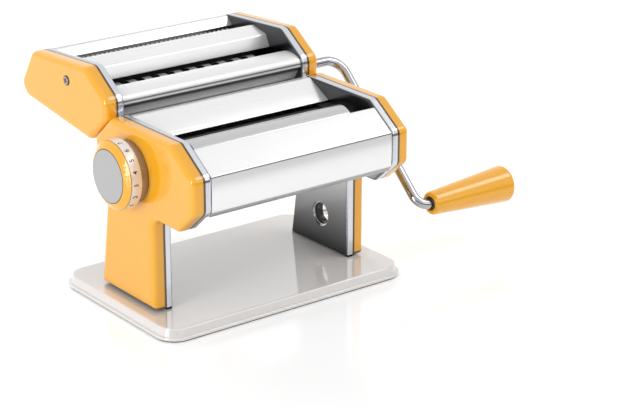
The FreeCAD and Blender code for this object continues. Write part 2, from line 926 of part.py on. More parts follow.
def back_panel():
    top = slant_point(D.panel_inset * 2, -D.panel_inset)
    bend = (D.back_y - D.panel_inset, BACK_TOP_Z - D.panel_inset)
    low = (D.back_y - D.panel_inset, D.back_low_z + D.panel_inset)
    points = [
        top,
        bend,
        low,
        moved(low, -D.sheet, ZERO),
        moved(bend, -D.sheet, -D.sheet * 0.4),
        moved(top, -D.sheet * 0.5, -D.sheet * 0.9),
    ]
    extruded("back_panel", points, -INNER, INNER)


# Smooth rollers, their guides, scrapers, bushes and gears

def side_guides():
    """Black plates beside the roller ends, which keep the dough off the frames."""
    outline = [
        (D.guide_front_y, D.guide_low_z),
        (D.guide_back_y, D.guide_low_z),
        (D.guide_back_y, D.guide_top_z),
        (D.guide_front_y, D.guide_top_z),
    ]
    for label, side in (("left_side_guide", LEFT), ("right_side_guide", RIGHT)):
        body = new_body(label)
        sketch = sketch_on(body, "YZ_Plane", INNER * side)
        draw_path(sketch, outline)
        pad(body, sketch, D.guide_width, -side)
        drill(body, INNER * side, [(FRONT, D.journal_radius + D.end_gap), (REAR, REAR_HOLE)])


def scrapers():
    front_tip = rim_point(FRONT, D.roller_radius + D.scraper_gap, D.front_scraper_angle)
    front_root = moved(front_tip, -D.front_scraper_run, -D.front_scraper_drop)
    clear = D.scraper_gap + D.roller_travel
    rear_tip = rim_point(REAR, D.roller_radius + clear, D.rear_scraper_angle)
    rear_root = moved(rear_tip, D.rear_scraper_run, -D.rear_scraper_drop)
    between_guides = INNER - D.guide_width
    strips = (
        ("front_scraper", front_tip, front_root, between_guides),
        ("rear_scraper", rear_tip, rear_root, INNER),
    )
    for label, tip, root, reach in strips:
        points = [tip, root, moved(root, ZERO, -D.scraper_gauge), moved(tip, ZERO, -D.scraper_gauge)]
        extruded(label, points, -reach, reach)


def rim_point(centre, radius, angle):
    return moved(centre, radius * cosine(angle), radius * sine(angle))


def front_roller():
    """Solid roller with a journal at each end and a crank socket at the right."""
    profile = [
        (-BUSH_END, ZERO),
        (SHAFT_END - D.socket_depth, ZERO),
        (SHAFT_END - D.socket_depth, D.socket_radius),
        (SHAFT_END, D.socket_radius),
        (SHAFT_END, D.journal_radius),
        (ROLLER_END, D.journal_radius),
        (ROLLER_END, D.roller_radius),
        (-ROLLER_END, D.roller_radius),
        (-ROLLER_END, D.journal_radius),
        (-BUSH_END, D.journal_radius),
    ]
    turned("front_roller", profile, FRONT)


def front_roller_bushes():
    bore = D.journal_radius + D.running_gap
    bushes = []
    for side in (LEFT, RIGHT):
        profile = tube_profile(INNER * side, BUSH_END * side, bore, bore + D.bush_wall)
        bushes.append(turned("front_bush", profile, FRONT))
    group("front_roller_bushes", bushes)


def rear_roller():
    """Hollow roller that turns on two sleeves, with a wide journal for its gear."""
    bore = D.sleeve_radius + D.running_gap
    profile = [
        (-ROLLER_END, bore),
        (GEAR_END, bore),
        (GEAR_END, D.hollow_journal_radius),
        (ROLLER_END, D.hollow_journal_radius),
        (ROLLER_END, D.roller_radius),
        (-ROLLER_END, D.roller_radius),
    ]
    turned("rear_roller", profile, REAR)


def eccentric_sleeves():
    """Sleeves that ride on the regulator's eccentrics and carry the rear roller."""
    bore = D.eccentric_radius + D.eccentric_gap
    sleeves = []
    for side in (LEFT, RIGHT):
        inner_end = (ROLLER_END - D.sleeve_length) * side
        profile = tube_profile(inner_end, ROLLER_END * side, bore, D.sleeve_radius)
        sleeves.append(turned("eccentric_sleeve", profile, REAR))
    group("eccentric_sleeves", sleeves)


def gear(label, centre, teeth, pitch_radius, addendum, dedendum, backlash, bore, turn):
    """A spur gear with involute flanks; turn is the angle of one tooth's middle."""
    pressure = math.radians(20)
    base = pitch_radius * math.cos(pressure)
    tip = pitch_radius + addendum
    root = pitch_radius - dedendum
    thick = math.pi * pitch_radius / teeth - backlash / 2

    def half_angle(radius):
        slope = math.acos(min(1, base / radius))
        roll = math.tan(slope) - slope
        return thick / 2 / pitch_radius + math.tan(pressure) - pressure - roll

    levels = [root, max(base, root), (max(base, root) + tip) / 2, tip]
    points = []
    for tooth in range(teeth):
        middle = math.radians(turn) + 2 * math.pi * tooth / teeth
        flank = [(radius, half_angle(max(radius, base))) for radius in levels]
        for radius, half in flank:
            points.append(polar(radius, middle - half))
        for radius, half in reversed(flank):
            points.append(polar(radius, middle + half))
    outer = Part.makePolygon(points + points[:1])
    hole = Part.Wire(Part.makeCircle(bore, FreeCAD.Vector(0, 0, 0), FreeCAD.Vector(1, 0, 0)))
    face = Part.Face(outer).cut(Part.Face(hole))
    feature = DOC.addObject("Part::Feature", label)
    feature.Label = label
    feature.Shape = face.extrude(FreeCAD.Vector(D.gear_width.value, 0, 0))
    feature.Placement.Base = FreeCAD.Vector(GEAR_START.value, centre[0].value, centre[1].value)
    tie(feature, "Placement.Base.x", GEAR_START)
    tie(feature, "Placement.Base.y", centre[0])
    tie(feature, "Placement.Base.z", centre[1])
    SUBPARTS.append(feature)


def polar(radius, angle):
    return FreeCAD.Vector(0, radius * math.cos(angle), radius * math.sin(angle))


def gear_pair(front, rear, teeth, addendum, dedendum, backlash):
    """Two equal gears in mesh, each as (label, centre, bore)."""
    towards = math.degrees(math.atan2(
        rear[1][1].value - front[1][1].value, rear[1][0].value - front[1][0].value))
    apart = math.hypot(
        rear[1][1].value - front[1][1].value, rear[1][0].value - front[1][0].value)
    sizes = (int(teeth.value), apart / 2, addendum.value, dedendum.value, backlash.value)
    gear(front[0], front[1], *sizes, front[2].value, towards)
    gear(rear[0], rear[1], *sizes, rear[2].value, towards + 180 + 180 / teeth.value)


def smooth_gears():
    gear_pair(
        ("front_roller_gear", FRONT, D.journal_radius),
        ("rear_roller_gear", REAR, D.hollow_journal_radius),
        D.gear_teeth, D.gear_addendum, D.gear_dedendum, D.gear_backlash)


# Regulator and dial, on the left

DIAL_BACK = COVER_END + D.collar_depth + D.dial_gap
RING_END = DIAL_BACK + D.ring_width
DIAL_FACE = RING_END + D.bevel_depth
CAP_BACK = DIAL_FACE - D.cap_gauge
DIAL_FLOOR = DIAL_BACK + D.dial_floor
SHAFT_TIP = DIAL_FLOOR + D.spring_length


def regulator_shaft():
    """Shaft through the rear roller with an eccentric at each end and flats for the dial."""
    body = new_body("regulator_shaft", DIAL)
    sketch = sketch_on(body, "XY_Plane")
    bore_end = SHAFT_TIP - D.dial_screw_length
    draw_path(sketch, [
        (-SHAFT_TIP, D.dial_screw_radius),
        (-bore_end, D.dial_screw_radius),
        (-bore_end, ZERO),
        (COVER_INSIDE, ZERO),
        (COVER_INSIDE, D.shaft_radius),
        (-SHAFT_TIP, D.shaft_radius),
    ])
    spin(body, sketch)
    lobe = (D.eccentric_throw * sine(D.rollers_tilt), D.eccentric_throw * cosine(D.rollers_tilt))
    for start in (-ROLLER_END, ROLLER_END - D.sleeve_length):
        disc = sketch_on(body, "YZ_Plane", start)
        draw_circle(disc, lobe, D.eccentric_radius)
        pad(body, disc, D.sleeve_length)
    flats = sketch_on(body, "YZ_Plane", -DIAL_BACK)
    for side in (LEFT, RIGHT):
        near = D.flat_half * side
        far = D.shaft_radius * 1.5 * side
        wide = D.shaft_radius * 1.5
        draw_path(flats, [(-wide, near), (wide, near), (wide, far), (-wide, far)])
    pocket(body, flats, SHAFT_TIP - DIAL_BACK, LEFT)


def regulator_bush():
    bore = D.shaft_radius + D.running_gap
    turned("regulator_bush", tube_profile(-BUSH_END, -INNER, bore, bore + D.bush_wall), DIAL)


def dial_collar():
    """Fixed collar on the left cover, with a slot that stops the dial's index pin."""
    body = new_body("dial_collar", DIAL)
    end = COVER_END + D.collar_depth
    sketch = sketch_on(body, "XY_Plane")
    draw_path(sketch, tube_profile(-end, -COVER_END, D.collar_bore, D.collar_radius))
    spin(body, sketch)
    slot = sketch_on(body, "XY_Plane")
    half = D.index_radius + D.index_gap
    floor = DIAL_BACK - D.index_depth - D.index_gap - D.dial_gap
    draw_path(slot, tube_profile(-end, -floor, D.index_reach - half, D.index_reach + half))
    spin(body, slot, "Groove", D.index_swing + half / D.index_reach * 2 * 180 / math.pi)


def dial_knob():
    """The moulded knob, hollow behind its cap, that slides on the shaft's flats."""
    seat = D.ring_radius - D.ring_wall
    profile = [
        (-DIAL_BACK, ZERO),
        (-DIAL_BACK, seat),
        (-RING_END, seat),
        (-RING_END, D.ring_radius),
        (-DIAL_FACE, D.cap_radius + D.flat_gap),
        (-CAP_BACK, D.cap_radius + D.flat_gap),
        (-CAP_BACK, D.dial_cavity),
        (-DIAL_FLOOR, D.dial_cavity),
        (-DIAL_FLOOR, ZERO),
    ]
    body = turned("dial_knob", profile, DIAL)
    keyway = sketch_on(body, "YZ_Plane", -DIAL_BACK)
    wide = D.shaft_radius + D.flat_gap
    tall = D.flat_half + D.flat_gap
    draw_path(keyway, [(-wide, -tall), (wide, -tall), (wide, tall), (-wide, tall)])
    pocket(body, keyway, D.dial_floor, LEFT)
    pin_hole = sketch_on(body, "YZ_Plane", -DIAL_BACK)
    draw_circle(pin_hole, (D.index_reach, ZERO), D.index_radius)
    pocket(body, pin_hole, D.index_seat, LEFT)


def dial_details():
    seat = D.ring_radius - D.ring_wall
    turned("dial_number_ring", tube_profile(-RING_END, -DIAL_BACK, seat, D.ring_radius), DIAL)
    cap = [(-DIAL_FACE, ZERO), (-CAP_BACK, ZERO), (-CAP_BACK, D.cap_radius), (-DIAL_FACE, D.cap_radius)]
    turned("dial_cap", cap, DIAL)
    pin = [
        (-(DIAL_BACK + D.index_seat), ZERO),
        (-(DIAL_BACK - D.index_depth), ZERO),
        (-(DIAL_BACK - D.index_depth), D.index_radius),
        (-(DIAL_BACK + D.index_seat), D.index_radius),
    ]
    turned("index_pin", pin, moved(DIAL, D.index_reach, ZERO))
    spring_bore = D.spring_radius - D.spring_wall
    turned("dial_spring", tube_profile(-SHAFT_TIP, -DIAL_FLOOR, spring_bore, D.spring_radius), DIAL)
    head = -(SHAFT_TIP + D.dial_screw_thick)
    tip = -(SHAFT_TIP - D.dial_screw_length)
    screw = screw_profile(head, -SHAFT_TIP, tip, D.dial_screw_head, D.dial_screw_radius)
    turned("dial_screw", screw, DIAL)


# Cutter head

def cutter_frames():
    outline = cutter_outline()
    holes = [(axis, D.cutter_journal + D.running_gap + D.bush_wall) for axis in CUTTER_AXES]
    holes += [(CUTTER_ROD, D.rod_screw_radius)]
    for label, side in (("cutter_left_frame", LEFT), ("cutter_right_frame", RIGHT)):
        pressed_frame(label, side, outline, cutter_rounds(outline), [D.cutter_corner], holes)


def cutter_covers():
    outline = cutter_outline()
    screw = [(CUTTER_ROD, D.rod_screw_radius)]
    crank_holes = [(axis, D.cutter_journal + D.end_gap) for axis in (WIDE_FRONT, NARROW_FRONT)]
    for label, side in (("cutter_left_cover", LEFT), ("cutter_right_cover", RIGHT)):
        holes = screw + crank_holes if side == RIGHT else screw
        body = side_cover(
            label, side, outline, cutter_rounds(outline), [D.cutter_corner], holes, [CUTTER_ROD])
        sink = sketch_on(body, "YZ_Plane", COVER_END * side)
        draw_circle(sink, CUTTER_ROD, D.cutter_screw_head)
        pocket(body, sink, D.cutter_screw_sink, -side)


def cutter_rod_and_screws():
    bore_end = INNER - D.rod_screw_length
    profile = [
        (-INNER, D.rod_screw_radius),
        (-bore_end, D.rod_screw_radius),
        (-bore_end, ZERO),
        (bore_end, ZERO),
        (bore_end, D.rod_screw_radius),
        (INNER, D.rod_screw_radius),
        (INNER, D.rod_radius),
        (-INNER, D.rod_radius),
    ]
    turned("cutter_tie_rod", profile, CUTTER_ROD)
    screws = []
    for side in (LEFT, RIGHT):
        seat = (COVER_END - D.cutter_screw_sink) * side
        head = COVER_END * side
        shape = screw_profile(head, seat, bore_end * side, D.cutter_screw_head, D.rod_screw_radius)
        screws.append(turned("cutter_cover_screw", shape, CUTTER_ROD))
    group("cutter_cover_screws", screws)


def cutter_pegs():
    """Pegs under the cutter frames that drop into the main frames' back slant."""
    pegs = []
    for side in (LEFT, RIGHT):
        for along in (D.peg_near, D.peg_far):
            top = D.cutter_gap
            peg = slant_cylinder("cutter_peg", side, along, D.peg_radius, top - D.peg_length, top)
            SUBPARTS.append(peg)
            pegs.append(peg)
    group("cutter_pegs", pegs)


def cutter_front_panel():
    """The rounded guide in front of the wide slot."""
    back = moved(CORNER, D.bullnose_back_y, D.bullnose_top_z)
    nose = moved(CORNER, D.bullnose_front_y, D.bullnose_top_z)
    lip = moved(CORNER, D.bullnose_front_y, D.bullnose_low_z)
    points = [
        back,
        nose,
        lip,
        moved(lip, D.sheet, ZERO),
        moved(nose, D.sheet, -D.sheet),
        moved(back, ZERO, -D.sheet),
    ]
    body = extruded("cutter_front_panel", points, -INNER, INNER)
    outside = fillet(body, body.Tip, corner_edges(body.Shape, [points[1]]), D.bullnose_round)
    fillet(body, outside, corner_edges(body.Shape, [points[4]]), D.bullnose_round - D.sheet)


def cutter_front_apron():
    top = moved(CORNER, D.apron_top_y, D.apron_top_z)
    low = moved(CORNER, D.apron_low_y, D.apron_low_z)
    points = [top, low, moved(low, D.sheet * 1.2, ZERO), moved(top, D.sheet * 1.2, ZERO)]
    extruded("cutter_front_apron", points, -INNER, INNER)


def cutter_middle_panel():
    low = moved(CORNER, D.middle_low_y, D.middle_low_z)
    front = moved(CORNER, D.middle_front_y, D.middle_front_z)
    ridge = moved(CORNER, D.middle_ridge_y, D.middle_ridge_z)
    back = moved(CORNER, D.middle_back_y, D.middle_back_z)
    tail = moved(CORNER, D.middle_tail_y, D.middle_tail_z)
    points = [
        low,
        front,
        ridge,
        back,
        tail,
        moved(tail, -D.sheet * 0.7, -D.sheet),
        moved(back, -D.sheet * 0.4, -D.sheet * 1.2),
        moved(ridge, ZERO, -D.sheet * 1.1),
        moved(front, D.sheet * 0.6, -D.sheet),
        moved(low, D.sheet * 1.1, ZERO),
    ]
    extruded("cutter_middle_panel", points, -INNER, INNER)


def cutter_back_panel():
    """Sheet from behind the narrow slot, over the top and down the back."""
    slot = moved(CORNER, D.tail_slot_y, D.tail_slot_z)
    top = moved(CORNER, D.tail_top_y, D.tail_top_z - D.panel_inset)
    edge = moved(CORNER, D.cutter_top_back_y - D.panel_inset, D.cutter_top_back_z - D.panel_inset)
    tail = moved(CORNER, D.cutter_tail_y - D.panel_inset, D.cutter_tail_z)
    points = [
        slot,
        top,
        edge,
        tail,
        moved(tail, -D.sheet * 1.2, ZERO),
        moved(edge, -D.sheet * 0.7, -D.sheet),
        moved(top, D.sheet * 0.3, -D.sheet * 1.1),
        moved(slot, D.sheet * 1.2, ZERO),
    ]
    extruded("cutter_back_panel", points, -INNER, INNER)


def ring_count(cut, shifted):
    """How many rings of one roller fit in its length."""
    count = int((CUTTER_END.value * 2 - cut) / (cut * 2)) + 1
    return count - 1 if shifted else count


def cutter_roller(label, centre, cut, shifted, socket):
    """A core with rings that run in the grooves of its partner."""
    body = new_body(label, centre)
    sketch = sketch_on(body, "XY_Plane")
    end = SHAFT_END if socket else GEAR_END
    depth = SHAFT_END - D.socket_depth
    bottom = [(-BUSH_END, ZERO), (depth, ZERO), (depth, D.socket_radius), (end, D.socket_radius)]
    if not socket:
        bottom = [(-BUSH_END, ZERO), (end, ZERO)]
    draw_path(sketch, bottom + [
        (end, D.cutter_journal),
        (CUTTER_END, D.cutter_journal),
        (CUTTER_END, D.cutter_core_radius),
        (-CUTTER_END, D.cutter_core_radius),
        (-CUTTER_END, D.cutter_journal),
        (-BUSH_END, D.cutter_journal),
    ])
    spin(body, sketch)
    count = ring_count(cut.value, shifted)
    span = cut * 2 * (count - 1)
    first = -span / 2 - cut / 2 + D.cut_gap / 2
    ring = sketch_on(body, "XY_Plane")
    core = D.cutter_core_radius - D.cut_gap
    draw_path(ring, tube_profile(first, first + cut - D.cut_gap, core, D.cutter_ring_radius))
    feature = spin(body, ring)
    repeat(body, feature, span, count)


def repeat(body, feature, span, count):
    """Copy a feature along X, evenly over a span."""
    pattern = body.newObject("PartDesign::LinearPattern", body.Name + "_row")
    pattern.Originals = [feature]
    axis = [item for item in body.Origin.OriginFeatures if item.Role == "X_Axis"][0]
    pattern.Direction = (axis, [""])
    pattern.Length = span.value
    tie(pattern, "Length", span)
    pattern.Occurrences = count
    body.Tip = pattern
    DOC.recompute()


def comb(centre, cut, shifted):
    """A bar under one cutter roller, with a tooth in each of its grooves."""
    body = new_body("comb", centre)
    half = D.comb_bar_width / 2
    low = -D.comb_drop
    bar = sketch_on(body, "YZ_Plane", -INNER)
    draw_path(bar, [
        (-half, low), (half, low),
        (half, low + D.comb_bar_height), (-half, low + D.comb_bar_height),
    ])
    pad(body, bar, D.frame_span)
    count = ring_count(cut.value, shifted) - 1
    span = cut * 2 * (count - 1)
    width = cut - D.comb_side_gap * 2
    tooth_half = D.comb_tooth_width / 2
    tip = -(D.cutter_core_radius + D.comb_tip_gap)
    tooth = sketch_on(body, "YZ_Plane", -span / 2 - width / 2)
    draw_path(tooth, [(-tooth_half, low), (tooth_half, low), (tooth_half, tip), (-tooth_half, tip)])
    feature = pad(body, tooth, width)
    repeat(body, feature, span, count)
    return body


def cutter_rollers():
    pairs = (
        ("wide", WIDE_FRONT, WIDE_REAR, D.wide_cut),
        ("narrow", NARROW_FRONT, NARROW_REAR, D.narrow_cut),
    )
    for name, front, rear, cut in pairs:
        cutter_roller(f"{name}_cutter_front", front, cut, False, True)
        cutter_roller(f"{name}_cutter_rear", rear, cut, True, False)
        group(f"{name}_combs", [comb(front, cut, False), comb(rear, cut, True)])
        gear_pair(
            (f"{name}_gear_front", front, D.cutter_journal),
            (f"{name}_gear_rear", rear, D.cutter_journal),
            D.cutter_teeth, D.cutter_addendum, D.cutter_dedendum, D.cutter_backlash)


def cutter_bushes():
    bore = D.cutter_journal + D.running_gap
    bushes = []
    for side in (LEFT, RIGHT):
        for axis in CUTTER_AXES:
            profile = tube_profile(INNER * side, BUSH_END * side, bore, bore + D.bush_wall)
            bushes.append(turned("cutter_bush", profile, axis))
    group("cutter_bushes", bushes)


# Crank

GRIP_START = D.crank_reach + D.grip_offset
GRIP_END = GRIP_START + D.grip_length
GRIP = (
    WIDE_FRONT[0] + D.crank_arm * cosine(D.crank_angle),
    WIDE_FRONT[1] + D.crank_arm * sine(D.crank_angle),
)


def crank_rod():
    """Round bar, bent twice: into the socket, down the arm, out through the grip."""
    body = new_body("crank_rod", WIDE_FRONT, D.crank_angle)
    start = SHAFT_END - D.socket_depth + D.end_gap
    end = GRIP_END - D.grip_wall
    spine = sketch_on(body, "XY_Plane")
    high = D.crank_bend
    low = D.crank_low_bend
    runs = [
        ((start, ZERO), (D.crank_reach - high, ZERO)),
        ((D.crank_reach, high), (D.crank_reach, D.crank_arm - low)),
        ((D.crank_reach + low, D.crank_arm), (end, D.crank_arm)),
    ]
    for run in runs:
        draw_run(spine, *run)
    draw_bend(spine, 0, 1, (D.crank_reach - high, high), high, -90)
    draw_bend(spine, 1, 2, (D.crank_reach + low, D.crank_arm - low), low, 90)
    section = sketch_on(body, "YZ_Plane", start)
    draw_circle(section, (ZERO, ZERO), D.crank_radius)
    DOC.recompute()
    pipe = body.newObject("PartDesign::AdditivePipe", "crank_pipe")
    pipe.Profile = section
    pipe.Spine = (spine, [])
    DOC.recompute()


def draw_run(sketch, start, end):
    corners = [FreeCAD.Vector(across.value, up.value, 0) for across, up in (start, end)]
    index = sketch.addGeometry(Part.LineSegment(*corners), False)
    for place, point in ((1, start), (2, end)):
        hold(sketch, "DistanceX", index, place, point[0])
        hold(sketch, "DistanceY", index, place, point[1])


def draw_bend(sketch, before, after, centre, radius, start_angle):
    """A quarter round that joins the end of one run to the start of the next."""
    middle = FreeCAD.Vector(centre[0].value, centre[1].value, 0)
    circle = Part.Circle(middle, FreeCAD.Vector(0, 0, 1), radius.value)
    low = math.radians(start_angle)
    arc = Part.ArcOfCircle(circle, low, low + math.pi / 2)
    index = sketch.addGeometry(arc, False)
    first, last = (1, 2) if start_angle < 0 else (2, 1)
    sketch.addConstraint(Sketcher.Constraint("Coincident", before, 2, index, first))
    sketch.addConstraint(Sketcher.Constraint("Coincident", after, 1, index, last))
    hold(sketch, "DistanceX", index, 3, centre[0])


def crank_grip():
    bore = D.crank_radius + D.running_gap
    recess = D.ferrule_radius + D.ferrule_gap
    floor = GRIP_END - D.grip_wall + D.end_gap
    profile = [
        (GRIP_START, recess),
        (GRIP_START + D.ferrule_sink, recess),
        (GRIP_START + D.ferrule_sink, bore),
        (floor, bore),
        (floor, ZERO),
        (GRIP_END, ZERO),
        (GRIP_END, D.grip_big_radius),
        (GRIP_START, D.grip_small_radius),
    ]
    body = turned("crank_grip", profile, GRIP)
    far = fillet(body, body.Tip, round_edges(body.Shape, GRIP_END, D.grip_big_radius), D.grip_round)
    fillet(body, far, round_edges(body.Shape, GRIP_START, D.grip_small_radius), D.grip_small_round)


def round_edges(shape, across, radius):
    """Names of the edges that circle the X axis at one place with one radius."""
    names = []
    for index, edge in enumerate(shape.Edges, start=1):
        box = edge.BoundBox
        flat = box.XLength < 1e-6 and abs(box.XMin - across.value) < 1e-6
        if flat and abs(box.YLength - radius.value * 2) < 1e-3:
            names.append(f"Edge{index}")
    return names


def grip_ferrule():
    """Dark ring pressed on the rod, sunk in the end of the grip."""
    end = GRIP_START + D.ferrule_sink - D.ferrule_gap
    turned("grip_ferrule", tube_profile(end - D.ferrule_length, end, D.crank_radius, D.ferrule_radius), GRIP)


def build():
    base_plate()
    non_slip_pad()
    base_screws()
    main_frames()
    main_covers()
    cover_screws()
    tie_rods()
    clamp_sleeve()
    front_panel()
    hopper_panel()
    back_panel()
    side_guides()
    scrapers()
    front_roller()
    front_roller_bushes()
    rear_roller()
    eccentric_sleeves()
    smooth_gears()
    regulator_shaft()
    regulator_bush()
    dial_collar()
    dial_knob()
    dial_details()
    cutter_frames()
    cutter_covers()
    cutter_rod_and_screws()
    cutter_pegs()
    cutter_front_panel()
    cutter_front_apron()
    cutter_middle_panel()
    cutter_back_panel()
    cutter_rollers()
    cutter_bushes()
    crank_rod()
    crank_grip()
    grip_ferrule()


def check():
    """Stop if any object failed or any sub-part's shape is empty or not sound."""
    DOC.recompute()
    for item in DOC.Objects:
        if "Invalid" in item.State or "Error" in item.State:
            raise RuntimeError(f"{item.Label} failed: {item.State}")
    for item in SUBPARTS:
        if item.Shape.isNull() or not item.Shape.isValid() or not item.Shape.Solids:
            raise RuntimeError(f"{item.Label} has no sound shape")


def export():
    os.makedirs("parts", exist_ok=True)
    for item in SUBPARTS:
        item.Shape.exportStep(f"parts/{item.Label}.step")


build()
check()
export()
print(len(SUBPARTS), "sub-parts written")
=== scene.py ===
import json
import math

import bmesh
import bpy
from mathutils import Matrix, Vector


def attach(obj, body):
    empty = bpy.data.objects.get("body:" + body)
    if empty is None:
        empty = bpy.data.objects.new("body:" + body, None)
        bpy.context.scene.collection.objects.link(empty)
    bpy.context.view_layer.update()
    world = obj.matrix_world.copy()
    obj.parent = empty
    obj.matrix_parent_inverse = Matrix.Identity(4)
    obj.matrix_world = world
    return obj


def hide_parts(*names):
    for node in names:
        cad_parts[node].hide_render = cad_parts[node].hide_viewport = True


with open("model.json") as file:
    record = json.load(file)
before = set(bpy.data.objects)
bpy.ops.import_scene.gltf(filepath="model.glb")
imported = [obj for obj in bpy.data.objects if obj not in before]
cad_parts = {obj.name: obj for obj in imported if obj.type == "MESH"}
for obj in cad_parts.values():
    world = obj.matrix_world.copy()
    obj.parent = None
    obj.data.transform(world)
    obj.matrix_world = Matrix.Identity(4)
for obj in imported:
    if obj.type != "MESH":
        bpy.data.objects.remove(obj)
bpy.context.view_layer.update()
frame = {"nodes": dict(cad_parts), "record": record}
NODES = frame["nodes"]
RECORD = frame["record"]
MM = 0.001

# Camera, solved from the photograph's straight edges
CAMERA_AZIMUTH = -37.80
CAMERA_ELEVATION = 20.516
CAMERA_ROLL = 0.204
CAMERA_PLACE = (-0.79066, -1.12035, 0.56945)
SENSOR = 36.0
FOCAL_PIXELS = 2029.3
FRAME_WIDTH = 640

# Places on the machine in millimetres: across is X, then (Y, Z)
INNER = 77.0
COVER_START = 82.5
COVER_END = 92.7
SHEET = 1.0
FOOT = 10.75
TALL = 200.0
DIAL = (-10.5, 106.7)
RING_END = 108.2
RING_RADIUS = 24.5
CAP_RADIUS = 19.0
CLAMP = (-2.0, 34.2)
CLAMP_BORE = 8.0
CUTTER_ROD = (71.2, 151.2)
CUTTER_RINGS = 9.5
CUTTER_AXES = {
    "wide_cutter_front": (43.3, 134.4),
    "wide_cutter_rear": (60.76, 135.62),
    "narrow_cutter_front": (89.0, 140.2),
    "narrow_cutter_rear": (106.46, 141.42),
}


def add_camera():
    """The photograph's camera, level apart from its small roll."""
    azimuth = math.radians(CAMERA_AZIMUTH)
    elevation = math.radians(CAMERA_ELEVATION)
    roll = math.radians(CAMERA_ROLL)
    level = math.cos(elevation)
    back = Vector((math.sin(azimuth) * level, -math.cos(azimuth) * level, math.sin(elevation)))
    right = Vector((math.cos(azimuth), math.sin(azimuth), 0))
    up = back.cross(right)
    rolled_right = math.cos(roll) * right + math.sin(roll) * up
    rolled_up = math.cos(roll) * up - math.sin(roll) * right
    data = bpy.data.cameras.new("camera")
    data.sensor_width = SENSOR
    data.lens = SENSOR * FOCAL_PIXELS / FRAME_WIDTH
    data.clip_start = 0.05
    camera = bpy.data.objects.new("camera", data)
    turn = Matrix((rolled_right, rolled_up, back)).transposed().to_4x4()
    camera.matrix_world = Matrix.Translation(CAMERA_PLACE) @ turn
    bpy.context.scene.collection.objects.link(camera)
    bpy.context.scene.camera = camera


# Small helpers for node graphs

class Graph:
    """Nodes of one material or world, added and joined in short lines."""

    def __init__(self, tree):
        self.tree = tree

    def add(self, kind, **settings):
        node = self.tree.nodes.new(kind)
        for key, value in settings.items():
            setattr(node, key, value)
        return node

    def link(self, source, target):
        self.tree.links.new(source, target)

    def math(self, operation, first, second=None, clamp=False):
        node = self.add("ShaderNodeMath", operation=operation, use_clamp=clamp)
        for socket, value in zip(node.inputs, (first, second)):
            if isinstance(value, (int, float)):
                socket.default_value = value
            elif value is not None:
                self.link(value, socket)
        return node.outputs[0]

    def ramp(self, source, stops):
        """A colour ramp; stops are (place, grey or colour)."""
        node = self.add("ShaderNodeValToRGB")
        bar = node.color_ramp.elements
        while len(bar) < len(stops):
            bar.new(0.5)
        for element, (place, shade) in zip(bar, stops):
            element.position = place
            element.color = (*shade, 1) if isinstance(shade, tuple) else (shade, shade, shade, 1)
        self.link(source, node.inputs["Fac"])
        return node.outputs["Color"]

    def level(self, source, low, high, start=0.0, end=1.0):
        """Map a value from one range to another."""
        node = self.add("ShaderNodeMapRange")
        self.link(source, node.inputs["Value"])
        node.inputs["From Min"].default_value = start
        node.inputs["From Max"].default_value = end
        node.inputs["To Min"].default_value = low
        node.inputs["To Max"].default_value = high
        return node.outputs["Result"]

    def rise(self, source, start, end):
        """From 0 to 1 between two places in millimetres."""
        return self.level(source, 0.0, 1.0, start * MM, end * MM)

    def fall(self, source, start, end):
        """From 1 to 0 between two places in millimetres."""
        return self.level(source, 1.0, 0.0, start * MM, end * MM)

    def place(self, scale=(1, 1, 1)):
        """Object coordinates, stretched by a scale along each axis."""
        coords = self.add("ShaderNodeTexCoord")
        mapping = self.add("ShaderNodeMapping")
        mapping.inputs["Scale"].default_value = scale
        self.link(coords.outputs["Object"], mapping.inputs["Vector"])
        return mapping.outputs["Vector"]

    def axes(self):
        """Object coordinates as separate X, Y and Z."""
        split = self.add("ShaderNodeSeparateXYZ")
        self.link(self.place(), split.inputs[0])
        return split.outputs

    def outwards(self):
        """Distance from the machine's middle plane, in metres."""
        return self.math("ABSOLUTE", self.axes()["X"])

    def radius(self, centre):
        """Distance from an axis along X through a (Y, Z) point in millimetres, in metres."""
        axes = self.axes()
        across = self.math("SUBTRACT", axes["Y"], centre[0] * MM)
        up = self.math("SUBTRACT", axes["Z"], centre[1] * MM)
        squares = self.math("ADD", self.math("MULTIPLY", across, across), self.math("MULTIPLY", up, up))
        return self.math("SQRT", squares)

    def noise(self, vector, scale, detail=3.0):
        node = self.add("ShaderNodeTexNoise")
        node.inputs["Scale"].default_value = scale
        node.inputs["Detail"].default_value = detail
        self.link(vector, node.inputs["Vector"])
        return node.outputs["Fac"]

    def mix(self, factor, first, second):
        """Blend two colours or colour sockets."""
        node = self.add("ShaderNodeMix", data_type="RGBA")
        for socket, value in ((node.inputs[6], first), (node.inputs[7], second)):
            if isinstance(value, tuple):
                socket.default_value = (*value, 1)
            else:
                self.link(value, socket)
        self.link(factor, node.inputs[0])
        return node.outputs[2]

    def bump(self, height, strength, distance):
        node = self.add("ShaderNodeBump")
        node.inputs["Strength"].default_value = strength
        node.inputs["Distance"].default_value = distance
        self.link(height, node.inputs["Height"])
        return node.outputs["Normal"]


def new_material(name):
    """A material with its graph and its shader."""
    material = bpy.data.materials.new("look_" + name)
    material.use_nodes = True
    graph = Graph(material.node_tree)
    return material, graph, material.node_tree.nodes["Principled BSDF"]


# Materials

# Brown painted shade towards the frame and dark painted shadow in the seams, both on the orange covers
SEAM_PAINTED_SHADE = (0.30, 0.09, 0.004)
SEAM_PAINTED_SHADOW = (0.03, 0.014, 0.005)
STEEL_SHADE = (0.02, 0.02, 0.021)
BRUSHED = (9.0, 900.0, 900.0)


